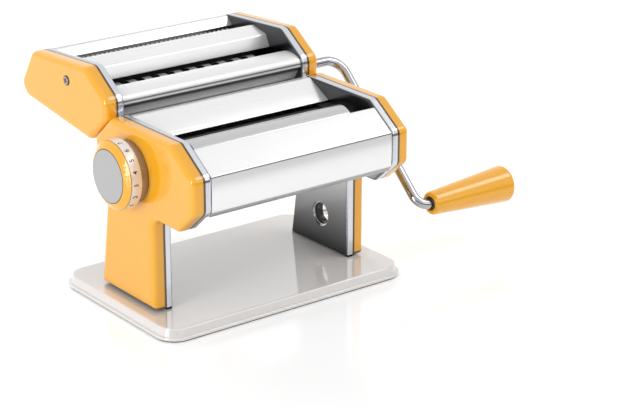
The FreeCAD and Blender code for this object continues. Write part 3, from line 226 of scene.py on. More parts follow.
def moulded_plastic(name, light, dark, roughness, coat):
    """Glossy moulded plastic: slow colour drift, fine peel, a painted brown shade towards the frame and
    painted shadow lines in the seams at the frame and the base.
    """
    material, graph, shader = new_material(name)
    vector = graph.place()
    drift = graph.noise(vector, 18.0, 2.0)
    clean = graph.mix(drift, dark, light)
    out = graph.outwards()
    # painted shade: the covers turn brown towards the frame rim
    shade = graph.level(out, 0.35, 0.0, (COVER_START + 0.9) * MM, (COVER_START + 2.4) * MM)
    shaded = graph.mix(shade, clean, SEAM_PAINTED_SHADE)
    # painted shadow lines in the gaps at the frame rim and under the covers' feet
    frame_seam_shadow = graph.fall(out, COVER_START + 1.0, COVER_START + 1.6)
    foot_seam_shadow = graph.fall(graph.axes()["Z"], FOOT + 1.0, FOOT + 1.7)
    seam_shadows = graph.math("MAXIMUM", frame_seam_shadow, foot_seam_shadow)
    uneven_seam_shadow = graph.math("MULTIPLY", seam_shadows, graph.level(drift, 0.8, 1.0))
    graph.link(graph.mix(uneven_seam_shadow, shaded, SEAM_PAINTED_SHADOW), shader.inputs["Base Color"])
    smudge = graph.noise(vector, 55.0, 4.0)
    graph.link(graph.level(smudge, roughness - 0.04, roughness + 0.05), shader.inputs["Roughness"])
    peel = graph.noise(vector, 420.0, 1.0)
    graph.link(graph.bump(peel, 0.025, 0.0003), shader.inputs["Normal"])
    shader.inputs["Coat Weight"].default_value = coat
    shader.inputs["Coat Roughness"].default_value = 0.1
    shader.inputs["Coat IOR"].default_value = 1.62
    shader.inputs["Specular IOR Level"].default_value = 0.12
    return material


def brushed_metal(name, colour, tint, roughness, grain):
    """Metal with fine lines across the machine that vary its gloss and surface."""
    material, graph, shader = new_material(name)
    lines = graph.noise(graph.place(BRUSHED), 1.0, 4.0)
    cloud = graph.noise(graph.place(), 25.0, 3.0)
    graph.link(graph.mix(cloud, tint, colour), shader.inputs["Base Color"])
    shade = graph.math("ADD", graph.math("MULTIPLY", lines, 0.6), graph.math("MULTIPLY", cloud, 0.4))
    graph.link(graph.level(shade, roughness * 0.75, roughness * 1.25), shader.inputs["Roughness"])
    graph.link(graph.bump(lines, grain, 0.0001), shader.inputs["Normal"])
    shader.inputs["Metallic"].default_value = 1.0
    return material


def panel_steel(name, tone=0.91, metallic=0.45, roughness=0.28, shades=()):
    """Bright satin metal; shades are (height in millimetres, brightness) of the painted shade and
    painted reflection that darken it.
    """
    material, graph, shader = new_material(name)
    lines = graph.noise(graph.place(BRUSHED), 1.0, 4.0)
    cloud = graph.noise(graph.place(), 25.0, 3.0)
    colour = graph.mix(cloud, (tone * 0.97,) * 3, (tone, tone, tone * 1.005))
    # painted shade and painted reflection, darker bands by height
    if shades:
        height = graph.level(graph.axes()["Z"], 0.0, 1.0, 0.0, TALL * MM)
        shade = graph.ramp(height, [(place / TALL, value) for place, value in shades])
        colour = graph.mix(shade, STEEL_SHADE, colour)
    graph.link(colour, shader.inputs["Base Color"])
    graph.link(graph.level(lines, roughness * 0.93, roughness * 1.07), shader.inputs["Roughness"])
    graph.link(graph.bump(lines, 0.0015, 0.0001), shader.inputs["Normal"])
    shader.inputs["Metallic"].default_value = metallic
    return material


def two_tone_steel(name):
    """Pressed frames: bright turned-out rim, duller and darker plate between the rims, painted shade
    darkening the plate high up and low down, and a painted contact shadow at the foot.
    """
    material, graph, shader = new_material(name)
    out = graph.outwards()
    height = graph.axes()["Z"]
    rim = graph.rise(out, INNER + 0.4, INNER + 1.0)
    cloud = graph.noise(graph.place(), 22.0, 3.0)
    # painted shade: the plate darker towards the top, between the panels, and towards the base
    painted_upper_shade = graph.rise(height, 70.0, 105.0)
    low = graph.fall(height, 12.0, 65.0)
    dull = graph.mix(cloud, (0.42, 0.42, 0.43), (0.50, 0.50, 0.51))
    plate_with_low_shade = graph.mix(low, dull, (0.045, 0.045, 0.047))
    plate_with_painted_shade = graph.mix(painted_upper_shade, plate_with_low_shade, (0.085, 0.085, 0.09))
    bright = graph.mix(cloud, (0.60, 0.62, 0.66), (0.68, 0.70, 0.74))
    # painted contact shadow where the frame meets the base
    painted_foot_shadow = graph.fall(height, FOOT - 0.2, FOOT + 0.2)
    clean = graph.mix(rim, plate_with_painted_shade, bright)
    graph.link(graph.mix(painted_foot_shadow, clean, (0.015, 0.012, 0.010)), shader.inputs["Base Color"])
    fine = graph.noise(graph.place((40.0, 700.0, 700.0)), 1.0, 3.0)
    graph.link(graph.level(fine, 0.18, 0.24), shader.inputs["Roughness"])
    graph.link(graph.bump(fine, 0.006, 0.0001), shader.inputs["Normal"])
    shader.inputs["Metallic"].default_value = 1.0
    return material


def enamel(name):
    """Warm grey gloss enamel on the pressed base, with a soft unevenness."""
    material, graph, shader = new_material(name)
    vector = graph.place()
    drift = graph.noise(vector, 9.0, 2.0)
    graph.link(graph.mix(drift, (0.78, 0.75, 0.73), (0.82, 0.79, 0.77)), shader.inputs["Base Color"])
    haze = graph.noise(vector, 40.0, 4.0)
    graph.link(graph.level(haze, 0.06, 0.13), shader.inputs["Roughness"])
    wave = graph.noise(vector, 60.0, 1.0)
    graph.link(graph.bump(wave, 0.03, 0.0004), shader.inputs["Normal"])
    shader.inputs["Coat Weight"].default_value = 1.0
    shader.inputs["Coat Roughness"].default_value = 0.02
    shader.inputs["Coat IOR"].default_value = 1.8
    return material


def matt_rubber(name, colour):
    """Dark rubber with a coarse grain."""
    material, graph, shader = new_material(name)
    vector = graph.place()
    grain = graph.noise(vector, 700.0, 3.0)
    lighter = tuple(value * 1.6 for value in colour)
    graph.link(graph.mix(grain, colour, lighter), shader.inputs["Base Color"])
    graph.link(graph.level(grain, 0.6, 0.85), shader.inputs["Roughness"])
    graph.link(graph.bump(grain, 0.2, 0.0003), shader.inputs["Normal"])
    return material


def satin_paint(name, light, dark, roughness, metallic=0.0):
    """Satin finish with a fine even grain."""
    material, graph, shader = new_material(name)
    vector = graph.place()
    grain = graph.noise(vector, 900.0, 2.0)
    drift = graph.noise(vector, 30.0, 2.0)
    graph.link(graph.mix(drift, dark, light), shader.inputs["Base Color"])
    graph.link(graph.level(grain, roughness - 0.06, roughness + 0.06), shader.inputs["Roughness"])
    graph.link(graph.bump(grain, 0.02, 0.0001), shader.inputs["Normal"])
    shader.inputs["Metallic"].default_value = metallic
    return material


def ringed_steel(name, centre):
    """Cutting roller: bright worn ring faces, with painted shade darkening the grooves between them."""
    material, graph, shader = new_material(name)
    # painted shade: the grooves between the rings dark
    ring = graph.rise(graph.radius(centre), CUTTER_RINGS - 0.5, CUTTER_RINGS - 0.2)
    cloud = graph.noise(graph.place(), 60.0, 3.0)
    worn = graph.mix(cloud, (0.46, 0.46, 0.47), (0.56, 0.56, 0.57))
    graph.link(graph.mix(ring, (0.010, 0.010, 0.011), worn), shader.inputs["Base Color"])
    graph.link(graph.level(cloud, 0.28, 0.42), shader.inputs["Roughness"])
    graph.link(graph.bump(cloud, 0.05, 0.0002), shader.inputs["Normal"])
    shader.inputs["Metallic"].default_value = 0.5
    return material


def lined_hole(name):
    """Clamp hole: bright flange, a bore painted black as painted shade, polished at its outer end."""
    material, graph, shader = new_material(name)
    flange = graph.rise(graph.radius(CLAMP), CLAMP_BORE + 0.15, CLAMP_BORE + 0.5)
    deep = graph.rise(graph.outwards(), COVER_START + 3.0, COVER_START + 3.3)
    lip = graph.math("MAXIMUM", flange, deep)
    cloud = graph.noise(graph.place(), 80.0, 3.0)
    bright = graph.mix(cloud, (0.80, 0.80, 0.81), (0.94, 0.94, 0.95))
    # painted shade: the bore black between the flange and the polished end
    graph.link(graph.mix(lip, (0.010, 0.010, 0.010), bright), shader.inputs["Base Color"])
    graph.link(graph.level(cloud, 0.16, 0.26), shader.inputs["Roughness"])
    graph.link(lip, shader.inputs["Metallic"])
    return material


def printed_ring(name):
    """Number ring of the dial, with a dark line where it meets the knob."""
    material, graph, shader = new_material(name)
    vector = graph.place()
    drift = graph.noise(vector, 30.0, 2.0)
    clean = graph.mix(drift, (0.84, 0.78, 0.72), (0.92, 0.87, 0.82))
    line = graph.rise(graph.outwards(), RING_END - 0.45, RING_END - 0.2)
    graph.link(graph.mix(line, clean, (0.10, 0.055, 0.025)), shader.inputs["Base Color"])
    grain = graph.noise(vector, 900.0, 2.0)
    graph.link(graph.level(grain, 0.24, 0.36), shader.inputs["Roughness"])
    graph.link(graph.bump(grain, 0.05, 0.0001), shader.inputs["Normal"])
    shader.inputs["Metallic"].default_value = 0.25
    return material


def satin_cap(name):
    """Grey cap of the dial, darker at its rim."""
    material, graph, shader = new_material(name)
    vector = graph.place()
    grain = graph.noise(vector, 900.0, 2.0)
    clean = graph.mix(grain, (0.45, 0.45, 0.46), (0.50, 0.50, 0.51))
    rim = graph.rise(graph.radius(DIAL), CAP_RADIUS - 0.7, CAP_RADIUS - 0.3)
    graph.link(graph.mix(rim, clean, (0.16, 0.10, 0.05)), shader.inputs["Base Color"])
    graph.link(graph.level(grain, 0.42, 0.56), shader.inputs["Roughness"])
    graph.link(graph.bump(grain, 0.08, 0.0001), shader.inputs["Normal"])
    return material


def make_looks():
    """One look for each material slot of the record."""
    orange_light = (0.96, 0.46, 0.016)
    orange_dark = (0.94, 0.43, 0.012)
    return {
        "orange_plastic": moulded_plastic("orange", orange_light, orange_dark, 0.3, 1.0),
        "polished_steel": panel_steel("panels"),
        "base_enamel": enamel("enamel"),
        "rubber": matt_rubber("rubber", (0.03, 0.03, 0.03)),
        "black_plastic": satin_paint("black", (0.030, 0.030, 0.032), (0.018, 0.018, 0.02), 0.35),
        "roller_steel": panel_steel("rollers", 0.60, 0.7, 0.2),
        "chrome_bar": brushed_metal("chrome", (0.44, 0.45, 0.47), (0.38, 0.39, 0.41), 0.14, 0.01),
        "steel": brushed_metal("steel", (0.56, 0.56, 0.57), (0.44, 0.44, 0.45), 0.3, 0.05),
        "bronze": brushed_metal("bronze", (0.65, 0.48, 0.25), (0.55, 0.38, 0.18), 0.35, 0.05),
        "collar_metal": satin_paint("collar", (0.40, 0.35, 0.31), (0.32, 0.28, 0.24), 0.34, 0.8),
        "ring_white": printed_ring("ring"),
        "cap_grey": satin_cap("cap"),
    }


def special_looks():
    """Looks of single nodes that differ from the rest of their slot."""
    pressed = two_tone_steel("frames")
    looks = {name: ringed_steel(name, centre) for name, centre in CUTTER_AXES.items()}
    for side in ("left", "right"):
        looks[side + "_frame"] = pressed
        looks["cutter_" + side + "_frame"] = pressed
    # painted shade: the rear roller is a dark copy of the roller steel, shaded under the hopper
    dark = (0.05, 0.05, 0.052)
    shaded_darker = (0.03, 0.03, 0.031)
    looks["rear_roller"] = brushed_metal("rear_roller", dark, shaded_darker, 0.3, 0.02)
    return looks


def dress_cad(looks):
    """Give every CAD node its own look, or that of its slot."""
    special = special_looks()
    for part in RECORD["subparts"]:
        node = NODES[part["node"]]
        look = special.get(part["node"], looks[part["material_slot"]])
        node.data.materials.clear()
        node.data.materials.append(look)


# Pieces: how each is made and hung on the frame

FOLD_STEPS = 6
TIP_STEPS = 4
FLAT_BESIDE_FOLD = 0.35
SMOOTH_ANGLE = math.radians(28)
HARD_ANGLE = math.radians(32)


def add_piece(name, mesh, looks, body, slot, *nodes):
    """Show a mesh as a piece that rides on a body and stands for CAD nodes."""
    mesh.shade_smooth()
    mesh.set_sharp_from_angle(angle=SMOOTH_ANGLE)
    for look in looks:
        mesh.materials.append(look)
    piece = bpy.data.objects.new(name, mesh)
    bpy.context.scene.collection.objects.link(piece)
    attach(piece, body)
    if nodes:
        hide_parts(*nodes)
    return piece


def finished_mesh(name, mesh, *modifiers):
    """The mesh after modifiers, each given as (kind, settings)."""
    holder = bpy.data.objects.new(name, mesh)
    bpy.context.scene.collection.objects.link(holder)
    for kind, settings in modifiers:
        modifier = holder.modifiers.new(kind.lower(), kind)
        for key, value in settings.items():
            setattr(modifier, key, value)
    graph = bpy.context.evaluated_depsgraph_get()
    result = bpy.data.meshes.new_from_object(holder.evaluated_get(graph))
    bpy.data.objects.remove(holder)
    result.name = name
    return result


def mesh_from(shape, name):
    """A mesh with its faces turned outwards; the shape is used up."""
    mesh = bpy.data.meshes.new(name)
    bmesh.ops.recalc_face_normals(shape, faces=shape.faces)
    shape.to_mesh(mesh)
    shape.free()
    return mesh


def left_of(direction):
    """The direction turned a quarter to the left."""
    return Vector((-direction.y, direction.x))


def swung(vector, angle):
    """A flat vector turned by an angle."""
    cosine = math.cos(angle)
    sine = math.sin(angle)
    return Vector((vector.x * cosine - vector.y * sine, vector.x * sine + vector.y * cosine))


def rounded_line(points, radii):
    """A line through points, with an arc of the given radius at each inner corner."""
    points = [Vector(point) for point in points]
    line = [points[0]]
    for before, corner, after, radius in zip(points, points[1:], points[2:], radii):
        into = (corner - before).normalized()
        out = (after - corner).normalized()
        turn = math.atan2(into.x * out.y - into.y * out.x, into.dot(out))
        reach = radius * math.tan(abs(turn) / 2)
        start = corner - into * reach
        centre = start + left_of(into) * math.copysign(radius, turn)
        line.append(start - into * FLAT_BESIDE_FOLD)
        for step in range(FOLD_STEPS + 1):
            line.append(centre + swung(start - centre, turn * step / FOLD_STEPS))
        line.append(corner + out * (reach + FLAT_BESIDE_FOLD))
    line.append(points[-1])
    return line


def beside(line, distance):
    """The line moved sideways, to its right for a positive distance."""
    moved = []
    last = len(line) - 1
    for index, point in enumerate(line):
        along = line[min(index + 1, last)] - line[max(index - 1, 0)]
        moved.append(point - left_of(along.normalized()) * distance)
    return moved


def round_tip(start, end):
    """Points of a half circle from one sheet surface to the other, without its ends."""
    centre = (start + end) / 2
    step = -math.pi / TIP_STEPS
    return [centre + swung(start - centre, step * count) for count in range(1, TIP_STEPS)]


def folded_sheet(name, points, radii, gauge=SHEET, reach=INNER):
    """A bent sheet across the machine, its outer face along the points and its body on their right.

    The faces on its inner side take the second look of the piece.
    """
    outer = rounded_line(points, radii)
    inner = beside(outer, gauge)
    loop = outer + round_tip(outer[-1], inner[-1]) + inner[::-1] + round_tip(inner[0], outer[0])
    shape = bmesh.new()
    ends = []
    for across in (-reach, reach):
        ends.append([shape.verts.new((across * MM, y * MM, z * MM)) for y, z in loop])
    count = len(loop)
    inside = range(count - len(inner) - TIP_STEPS + 1, count - TIP_STEPS)
    for index in range(count):
        after = (index + 1) % count
        face = shape.faces.new((ends[0][index], ends[0][after], ends[1][after], ends[1][index]))
        face.material_index = 1 if index in inside else 0
    for end in ends:
        shape.faces.new(end)
    return mesh_from(shape, name)


# Brightness of the sheets by height: painted shade and painted reflection, dark at a hem, along a ridge
# and where shadow falls
SHEET_SHADES = {
    "front_sheet": [
        (93.9, 0.42), (94.4, 1.0), (118.4, 1.0), (118.6, 0.10), (119.3, 0.10), (119.5, 1.0),
    ],
    "cutter_front_sheet": [
        (142.6, 0.05), (142.9, 0.9), (143.7, 0.9), (143.9, 0.02), (144.7, 0.02), (145.1, 0.6),
        (146.2, 0.95),
    ],
    "cutter_back_sheet": [
        (134.8, 0.30), (135.3, 0.80), (152.0, 0.90), (160.4, 0.94), (161.2, 0.75),
    ],
    "cutter_apron_sheet": [
        (131.9, 0.04), (132.2, 1.0), (134.5, 0.85), (138.0, 0.46), (139.4, 0.12), (139.9, 0.02),
    ],
}
# Tone, metallic share and roughness of the shaded sheets
MIRROR_FINISH = (0.90, 0.65, 0.2)
SATIN_FINISHES = {
    "cutter_apron_sheet": (0.97, 0.3, 0.4),
    "cutter_front_sheet": (0.92, 0.3, 0.4),
}
# Each sheet: name, body, CAD node, outer profile as (Y, Z) and the radius of each bend
SHEETS = (
    ("front_sheet", "body", "front_panel",
     [(-81.2, 90.6), (-83.5, 94.3), (-84.1, 106.7), (-83.5, 119.2), (-62.22, 133.9), (-62.22, 125.2)],
     [5.0, 150.0, 0.8, 1.3]),
    ("hopper_sheet", "body", "hopper_panel",
     [(-10.6, 125.54), (10.8, 136.8), (15.1, 136.8)],
     [2.0]),
    ("back_sheet", "body", "back_panel",
     [(16.6, 135.9), (35.7, 118.6), (35.7, 95.2)],
     [2.0]),
    ("cutter_front_sheet", "cutter_head", "cutter_front_panel",
     [(22.0, 141.9), (22.0, 147.9), (32.0, 151.3), (41.4, 150.4)],
     [5.5, 26.0]),
    ("cutter_apron_sheet", "cutter_head", "cutter_front_apron",
     [(30.6, 130.9), (27.4, 135.7), (24.5, 140.2)],
     [30.0]),
    ("cutter_middle_sheet", "cutter_head", "cutter_middle_panel",
     [(61.1, 149.2), (65.0, 157.9), (81.5, 161.3), (85.1, 160.4), (92.9, 155.6)],
     [1.6, 2.5, 2.5]),
    ("cutter_back_sheet", "cutter_head", "cutter_back_panel",
     [(109.5, 155.4), (115.5, 161.4), (119.2, 161.1), (137.5, 133.4)],
     [1.4, 1.4]),
)


def add_sheets(looks):
    """The bright folded panels, each with rounded bends and edges and an inner side darkened as painted
    shade.
    """
    # painted shade: the inner faces dark, so that the slots between the sheets read black
    inside = brushed_metal("sheet_backs_painted_shade", (0.10, 0.10, 0.105), (0.07, 0.07, 0.072), 0.4, 0.05)
    for name, body, node, points, radii in SHEETS:
        face = looks["polished_steel"]
        if name in SHEET_SHADES:
            finish = SATIN_FINISHES.get(name, MIRROR_FINISH)
            face = panel_steel(name, *finish, SHEET_SHADES[name])
        mesh = folded_sheet(name, points, radii)
        add_piece(name, mesh, (face, inside), body, "polished_steel", node)


# The guide comb in the narrow slot: pitch and fingers across, its plane in Y and its heights in Z
COMB_REACH = 76.6
COMB_PITCH = 4.0
COMB_FINGER = 2.0
COMB_FRONT = 109.0
COMB_GAUGE = 0.6
COMB_LOW = 150.9
COMB_RAIL = 151.6
COMB_TOP = 153.1


def add_guide_comb():
    """A fine comb over the rear narrow roller: a rail between the frames with upright fingers, the rail
    darkened by painted shade.
    """
    shape = bmesh.new()
    across = -COMB_REACH
    outline = []
    while across < COMB_REACH - COMB_FINGER:
        outline += [(across, COMB_RAIL), (across, COMB_TOP)]
        outline += [(across + COMB_FINGER, COMB_TOP), (across + COMB_FINGER, COMB_RAIL)]
        across += COMB_PITCH
    outline += [(COMB_REACH, COMB_RAIL), (COMB_REACH, COMB_LOW), (-COMB_REACH, COMB_LOW)]
    corners = [shape.verts.new((x * MM, COMB_FRONT * MM, z * MM)) for x, z in outline]
    shape.faces.new(corners)
    plain = mesh_from(shape, "comb_outline")
    solid = {"thickness": COMB_GAUGE * MM, "offset": 0.0}
    mesh = finished_mesh("narrow_guide_comb", plain, ("SOLIDIFY", solid))
    # painted shade: the rail dark below the fingers
    painted_shade_rail = [(COMB_RAIL - 0.1, 0.02), (COMB_RAIL + 0.1, 1.0)]
    look = panel_steel("comb", 0.85, 0.3, 0.4, painted_shade_rail)
    add_piece("narrow_guide_comb", mesh, (look,), "cutter_head", "steel")


# A dark sheet that stands as painted shade between the pairs of cutting rollers
SHADE_SHEET_LINE = [(75.4, 134.2), (77.2, 136.4), (77.2, 158.6)]
SHADE_SHEET_BEND = 1.5
SHADE_SHEET_GAUGE = 0.6
SHADE_SHEET_PLAY = 0.4


def add_shade_sheet(look):
    """A dark plate hung under the middle panel, between the two pairs of cutting rollers, as painted
    shade in the gap between them.
    """
    mesh = folded_sheet("cutter_shade_sheet", SHADE_SHEET_LINE, [SHADE_SHEET_BEND], SHADE_SHEET_GAUGE, INNER - SHADE_SHEET_PLAY)
    add_piece("cutter_shade_sheet", mesh, (look, look), "cutter_head", "black_plastic")


def softened(node, width, segments=3):
    """A copy of a CAD node with its hard outward edges rounded."""
    shape = bmesh.new()
    shape.from_mesh(NODES[node].data)
    bmesh.ops.remove_doubles(shape, verts=shape.verts, dist=1e-6)
    bmesh.ops.dissolve_limit(
        shape, angle_limit=math.radians(0.5), verts=shape.verts, edges=shape.edges)
    bmesh.ops.recalc_face_normals(shape, faces=shape.faces)
    weight = shape.edges.layers.float.new("bevel_weight_edge")
    for edge in shape.edges:
        hard = edge.is_manifold and edge.calc_face_angle() > HARD_ANGLE
        edge[weight] = 1.0 if hard and edge.is_convex else 0.0
    plain = mesh_from(shape, node + "_plain")
    bevel = {"width": width * MM, "segments": segments, "limit_method": "WEIGHT"}
    return finished_mesh(node + "_soft", plain, ("BEVEL", bevel))


def add_soft_edges(looks):
    """Turned and moulded pieces whose worn edges catch the light."""
    pieces = (
        ("knob_soft", "dial", "dial_knob", "orange_plastic", 0.8),
        ("number_ring_soft", "dial", "dial_number_ring", "ring_white", 0.35),
        ("cap_soft", "dial", "dial_cap", "cap_grey", 0.4),
        ("collar_soft", "body", "dial_collar", "collar_metal", 0.5),
        ("clamp_soft", "body", "clamp_sleeve", "chrome_bar", 0.5),
        ("ferrule_soft", "crank", "grip_ferrule", "black_plastic", 0.4),
    )
    for name, body, node, slot, width in pieces:
        look = lined_hole("clamp") if node == "clamp_sleeve" else looks[slot]
        add_piece(name, softened(node, width), (look,), body, slot, node)


DIGIT_ANGLES = {"1": 225, "2": 204, "3": 183, "4": 162, "5": 142, "6": 123, "7": 103}
DIGIT_HEIGHT = 3.5
DIGIT_PROUD = 0.06
DIGIT_ACROSS = -104.4


def flat_text(text):
    """The faces of a short text, centred, one unit high."""
    curve = bpy.data.curves.new("digit", "FONT")
    curve.body = text
    curve.offset = 0.012
    holder = bpy.data.objects.new("digit", curve)
    bpy.context.scene.collection.objects.link(holder)
    graph = bpy.context.evaluated_depsgraph_get()
    mesh = bpy.data.meshes.new_from_object(holder.evaluated_get(graph))
    bpy.data.objects.remove(holder)
    corners = [vertex.co.copy() for vertex in mesh.vertices]
    faces = [tuple(face.vertices) for face in mesh.polygons]
    bpy.data.meshes.remove(mesh)
    low = Vector((min(c.x for c in corners), min(c.y for c in corners)))
    high = Vector((max(c.x for c in corners), max(c.y for c in corners)))
    middle = (low + high) / 2
    tall = high.y - low.y
    return [((c.x - middle.x) / tall, (c.y - middle.y) / tall) for c in corners], faces


def on_ring(right, up, angle, radius):
    """A point of the number ring: right and up in millimetres from the digit's middle."""
    here = angle - right / RING_RADIUS
    across = DIGIT_ACROSS - up
    y = DIAL[0] + radius * math.cos(here)
    z = DIAL[1] + radius * math.sin(here)
    return across * MM, y * MM, z * MM


def add_digits(look):
    """Printed numbers round the dial, read with their tops towards the knob's face."""
    shape = bmesh.new()
    for text, degrees in DIGIT_ANGLES.items():
        corners, faces = flat_text(text)
        angle = math.radians(degrees)
        top = []
        for right, up in corners:
            place = on_ring(right * DIGIT_HEIGHT, up * DIGIT_HEIGHT, angle, RING_RADIUS + DIGIT_PROUD)
            top.append(shape.verts.new(place))
        for face in faces:
            shape.faces.new([top[index] for index in face])
    bmesh.ops.remove_doubles(shape, verts=shape.verts, dist=1e-7)
    digits = mesh_from(shape, "dial_digits")
    solid = {"thickness": 2 * DIGIT_PROUD * MM, "offset": -1.0}
    mesh = finished_mesh("dial_digits", digits, ("SOLIDIFY", solid))
    add_piece("dial_digits", mesh, (look,), "dial", "black_plastic")


SCREW_RADIUS = 3.7
SCREW_LIFT = 0.03
SCREW_CROSS = (0.95, 4.6)
TURN_STEPS = 64


def turned_mesh(name, profile, centre):
    """A turned shape about an axis along X; the profile is (x, radius), on the axis at both ends."""
    shape = bmesh.new()
    rings = []
    for across, radius in profile:
        ring = []
        for step in range(TURN_STEPS if radius > 0 else 1):
            angle = 2 * math.pi * step / TURN_STEPS
            y = centre[0] + radius * math.cos(angle)
            z = centre[1] + radius * math.sin(angle)
            ring.append(shape.verts.new((across * MM, y * MM, z * MM)))
        rings.append(ring)
    for first, second in zip(rings, rings[1:]):
        for step in range(TURN_STEPS):
            after = (step + 1) % TURN_STEPS
            corners = [first[step % len(first)], first[after % len(first)]]
            corners += [second[after % len(second)], second[step % len(second)]]
            shape.faces.new(list(dict.fromkeys(corners)))
    return mesh_from(shape, name)


def box_mesh(name, centre, size, turn):
    """A box turned about the X axis, to cut with."""
    shape = bmesh.new()
    place = Matrix.Translation(Vector(centre) * MM) @ Matrix.Rotation(turn, 4, "X")
    bmesh.ops.create_cube(shape, size=1.0, matrix=place @ Matrix.Diagonal((*(Vector(size) * MM), 1)))
    return mesh_from(shape, name)


def cut_out(name, mesh, cutter):
    """One mesh minus another."""
    blade = bpy.data.objects.new("blade", cutter)
    bpy.context.scene.collection.objects.link(blade)
    settings = {"operation": "DIFFERENCE", "object": blade, "solver": "EXACT"}
    result = finished_mesh(name, mesh, ("BOOLEAN", settings))
    bpy.data.objects.remove(blade)
    return result


def screw_head(side):
    """A slightly domed cross-head screw over the recess of a cutter cover."""
    seat = (COVER_END + SCREW_LIFT) * side
    dome = [(0.0, SCREW_RADIUS), (0.35, SCREW_RADIUS), (0.7, SCREW_RADIUS * 0.9)]
    dome += [(1.0, SCREW_RADIUS * 0.66), (1.15, SCREW_RADIUS * 0.3), (1.18, 0.0)]
    profile = [(seat, 0.0)] + [(seat + rise * side, radius) for rise, radius in dome]
    mesh = turned_mesh("screw", profile, CUTTER_ROD)
    width, length = SCREW_CROSS
    for turn in (0.35, 0.35 + math.pi / 2):
        middle = (seat + 1.2 * side, *CUTTER_ROD)
        mesh = cut_out("screw", mesh, box_mesh("blade", middle, (1.8, length, width), turn))
    return mesh


def screw_steel(name):
    """Dull screw head, with painted shade darkening its edge and its cross."""
    material, graph, shader = new_material(name)
    edge = graph.rise(graph.radius(CUTTER_ROD), SCREW_RADIUS - 0.9, SCREW_RADIUS - 0.3)
    deep = graph.fall(graph.outwards(), COVER_END + 0.4, COVER_END + 0.7)
    cloud = graph.noise(graph.place(), 80.0, 3.0)
    worn = graph.mix(cloud, (0.36, 0.33, 0.34), (0.46, 0.43, 0.44))
    # painted shade: the head's edge and the recess of its cross dark
    painted_shade_edge_and_cross = graph.math("MAXIMUM", edge, deep)
    graph.link(graph.mix(painted_shade_edge_and_cross, worn, (0.045, 0.03, 0.022)), shader.inputs["Base Color"])
    graph.link(graph.level(cloud, 0.34, 0.46), shader.inputs["Roughness"])
    shader.inputs["Metallic"].default_value = 0.6
    return material


def add_screws():
    """Both screw heads of the cutter head, as one piece."""
    look = screw_steel("screw")
    shape = bmesh.new()
    for side in (-1, 1):
        shape.from_mesh(screw_head(side))
    name = "cutter_cover_screw_heads"
    mesh = mesh_from(shape, name)
    add_piece(name, mesh, (look,), "cutter_head", "chrome_bar", "cutter_cover_screws")


SPRING_RADIUS = 6.0
SPRING_WIRE = 0.2
SPRING_PITCH = 0.5
SPRING_TURNS = 2.5
SPRING_STEPS = 48
WIRE_SIDES = 8


def spring_ring(shape, tip, turn):
    """One ring of the wire, a number of turns along the coil."""
    angle = 2 * math.pi * turn
    across = tip + SPRING_WIRE + SPRING_PITCH * turn
    ring = []
    for side in range(WIRE_SIDES):
        around = 2 * math.pi * side / WIRE_SIDES
        radius = SPRING_RADIUS + SPRING_WIRE * math.cos(around)
        y = DIAL[0] + radius * math.cos(angle)
        z = DIAL[1] + radius * math.sin(angle)
        x = across + SPRING_WIRE * math.sin(around)
        ring.append(shape.verts.new((x * MM, y * MM, z * MM)))
    return ring


def add_spring(look):
    """The dial's coil spring, drawn at its pressed length so that the pulled knob stays clear of it."""
    tip = min(vertex.co.x for vertex in NODES["dial_spring"].data.vertices) / MM
    shape = bmesh.new()
    count = int(SPRING_TURNS * SPRING_STEPS)
    rings = [spring_ring(shape, tip, step / SPRING_STEPS) for step in range(count + 1)]
    for first, second in zip(rings, rings[1:]):
        for side in range(WIRE_SIDES):
            after = (side + 1) % WIRE_SIDES
            shape.faces.new((first[side], first[after], second[after], second[side]))
    shape.faces.new(rings[0])
    shape.faces.new(rings[-1])
    mesh = mesh_from(shape, "dial_spring_coil")
    add_piece("dial_spring_coil", mesh, (look,), "regulator", "steel", "dial_spring")


# Stage: table, studio surroundings and lamps

TABLE_FRONT = -0.42
TABLE_BACK = 5.0
TABLE_HALF = 4.0
TABLE_GLOW = 0.30
AMBIENT = 0.61


def add_table():
    """A flat table under the part, which ends a little in front of it."""
    mesh = bpy.data.meshes.new("table")
    corners = [
        (-TABLE_HALF, TABLE_FRONT, 0), (TABLE_HALF, TABLE_FRONT, 0),
        (TABLE_HALF, TABLE_BACK, 0), (-TABLE_HALF, TABLE_BACK, 0),
    ]
    mesh.from_pydata(corners, [], [(0, 1, 2, 3)])
    table = bpy.data.objects.new("table", mesh)
    bpy.context.scene.collection.objects.link(table)
    mesh.materials.append(table_look())


def table_look():
    """White gloss table: matt white with a weak mirror, lifted to white where it is seen."""
    material, graph, shader = new_material("table")
    shader.inputs["Base Color"].default_value = (0.84, 0.84, 0.84, 1)
    shader.inputs["Roughness"].default_value = 0.12
    shader.inputs["Specular IOR Level"].default_value = 0.35
    path = graph.add("ShaderNodeLightPath")
    seen = graph.math("MAXIMUM", path.outputs["Is Camera Ray"], path.outputs["Is Glossy Ray"])
    seen = graph.math("MAXIMUM", seen, path.outputs["Is Transmission Ray"])
    glow = graph.add("ShaderNodeEmission")
    glow.inputs["Color"].default_value = (1, 1, 1, 1)
    graph.link(graph.math("MULTIPLY", seen, TABLE_GLOW), glow.inputs["Strength"])
    both = graph.add("ShaderNodeAddShader")
    graph.link(shader.outputs[0], both.inputs[0])
    graph.link(glow.outputs[0], both.inputs[1])
    graph.link(both.outputs[0], material.node_tree.nodes["Material Output"].inputs["Surface"])
    return material


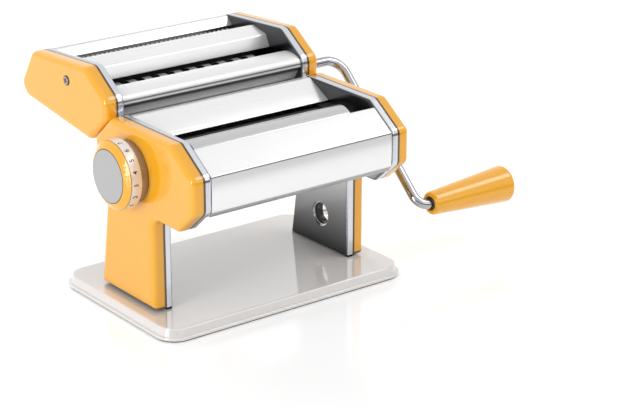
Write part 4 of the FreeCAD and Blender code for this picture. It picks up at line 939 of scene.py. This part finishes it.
def add_world():
    """Even light all round; mirrors see a white studio with a dark band low in front of the part."""
    world = bpy.data.worlds.new("studio")
    world.use_nodes = True
    graph = Graph(world.node_tree)
    background = world.node_tree.nodes["Background"]
    coords = graph.add("ShaderNodeTexCoord")
    split = graph.add("ShaderNodeSeparateXYZ")
    graph.link(coords.outputs["Generated"], split.inputs[0])
    height = graph.level(split.outputs["Z"], 0.0, 1.0, -1.0, 1.0)
    front = graph.ramp(height, [(0.36, 0.45), (0.44, 0.12), (0.53, 0.12), (0.60, 0.80), (0.72, 1.0)])
    rear = graph.ramp(height, [(0.40, 0.7), (0.50, 1.0)])
    facing = graph.level(split.outputs["Y"], 1.0, 0.0, -0.55, 0.25)
    around = graph.mix(facing, rear, front)
    path = graph.add("ShaderNodeLightPath")
    mirrored = path.outputs["Is Glossy Ray"]
    graph.link(graph.mix(mirrored, (1.0, 1.0, 1.0), around), background.inputs["Color"])
    seen = graph.math("MAXIMUM", path.outputs["Is Camera Ray"], path.outputs["Is Transmission Ray"])
    shown = graph.math("MAXIMUM", seen, mirrored)
    graph.link(graph.level(shown, AMBIENT, 1.0), background.inputs["Strength"])
    bpy.context.scene.world = world


def add_lamp(name, place, target, width, height, watts, mirrored=True):
    """A soft box; one that is not mirrored lights surfaces but leaves no glare on them."""
    data = bpy.data.lights.new(name, "AREA")
    data.shape = "RECTANGLE"
    data.size = width
    data.size_y = height
    data.energy = watts
    lamp = bpy.data.objects.new(name, data)
    lamp.location = place
    lamp.visible_glossy = mirrored
    aim = Vector(target) - Vector(place)
    lamp.rotation_euler = aim.to_track_quat("-Z", "Y").to_euler()
    bpy.context.scene.collection.objects.link(lamp)


def add_lamps():
    """Four soft boxes round the part."""
    middle = (0.0, 0.0, 0.1)
    add_lamp("left_box", (-1.35, -0.3, 0.38), middle, 0.45, 0.7, 7.6)
    add_lamp("right_box", (0.75, -0.6, 1.15), middle, 0.7, 0.5, 4.0)
    add_lamp("front_box", (0.45, -1.35, 0.6), middle, 0.9, 0.5, 1.2)
    add_lamp("back_box", (0.1, 1.1, 0.62), (0.0, 0.0, 0.0), 0.9, 0.45, 7.0, mirrored=False)


def add_pieces(looks):
    """Every piece that takes the place of a CAD node or adds to it."""
    add_sheets(looks)
    add_shade_sheet(looks["black_plastic"])
    add_guide_comb()
    add_soft_edges(looks)
    add_digits(looks["black_plastic"])
    add_screws()
    add_spring(looks["steel"])


bpy.context.scene.view_settings.view_transform = "Standard"
add_camera()
add_world()
add_lamps()
add_table()
all_looks = make_looks()
dress_cad(all_looks)
add_pieces(all_looks)
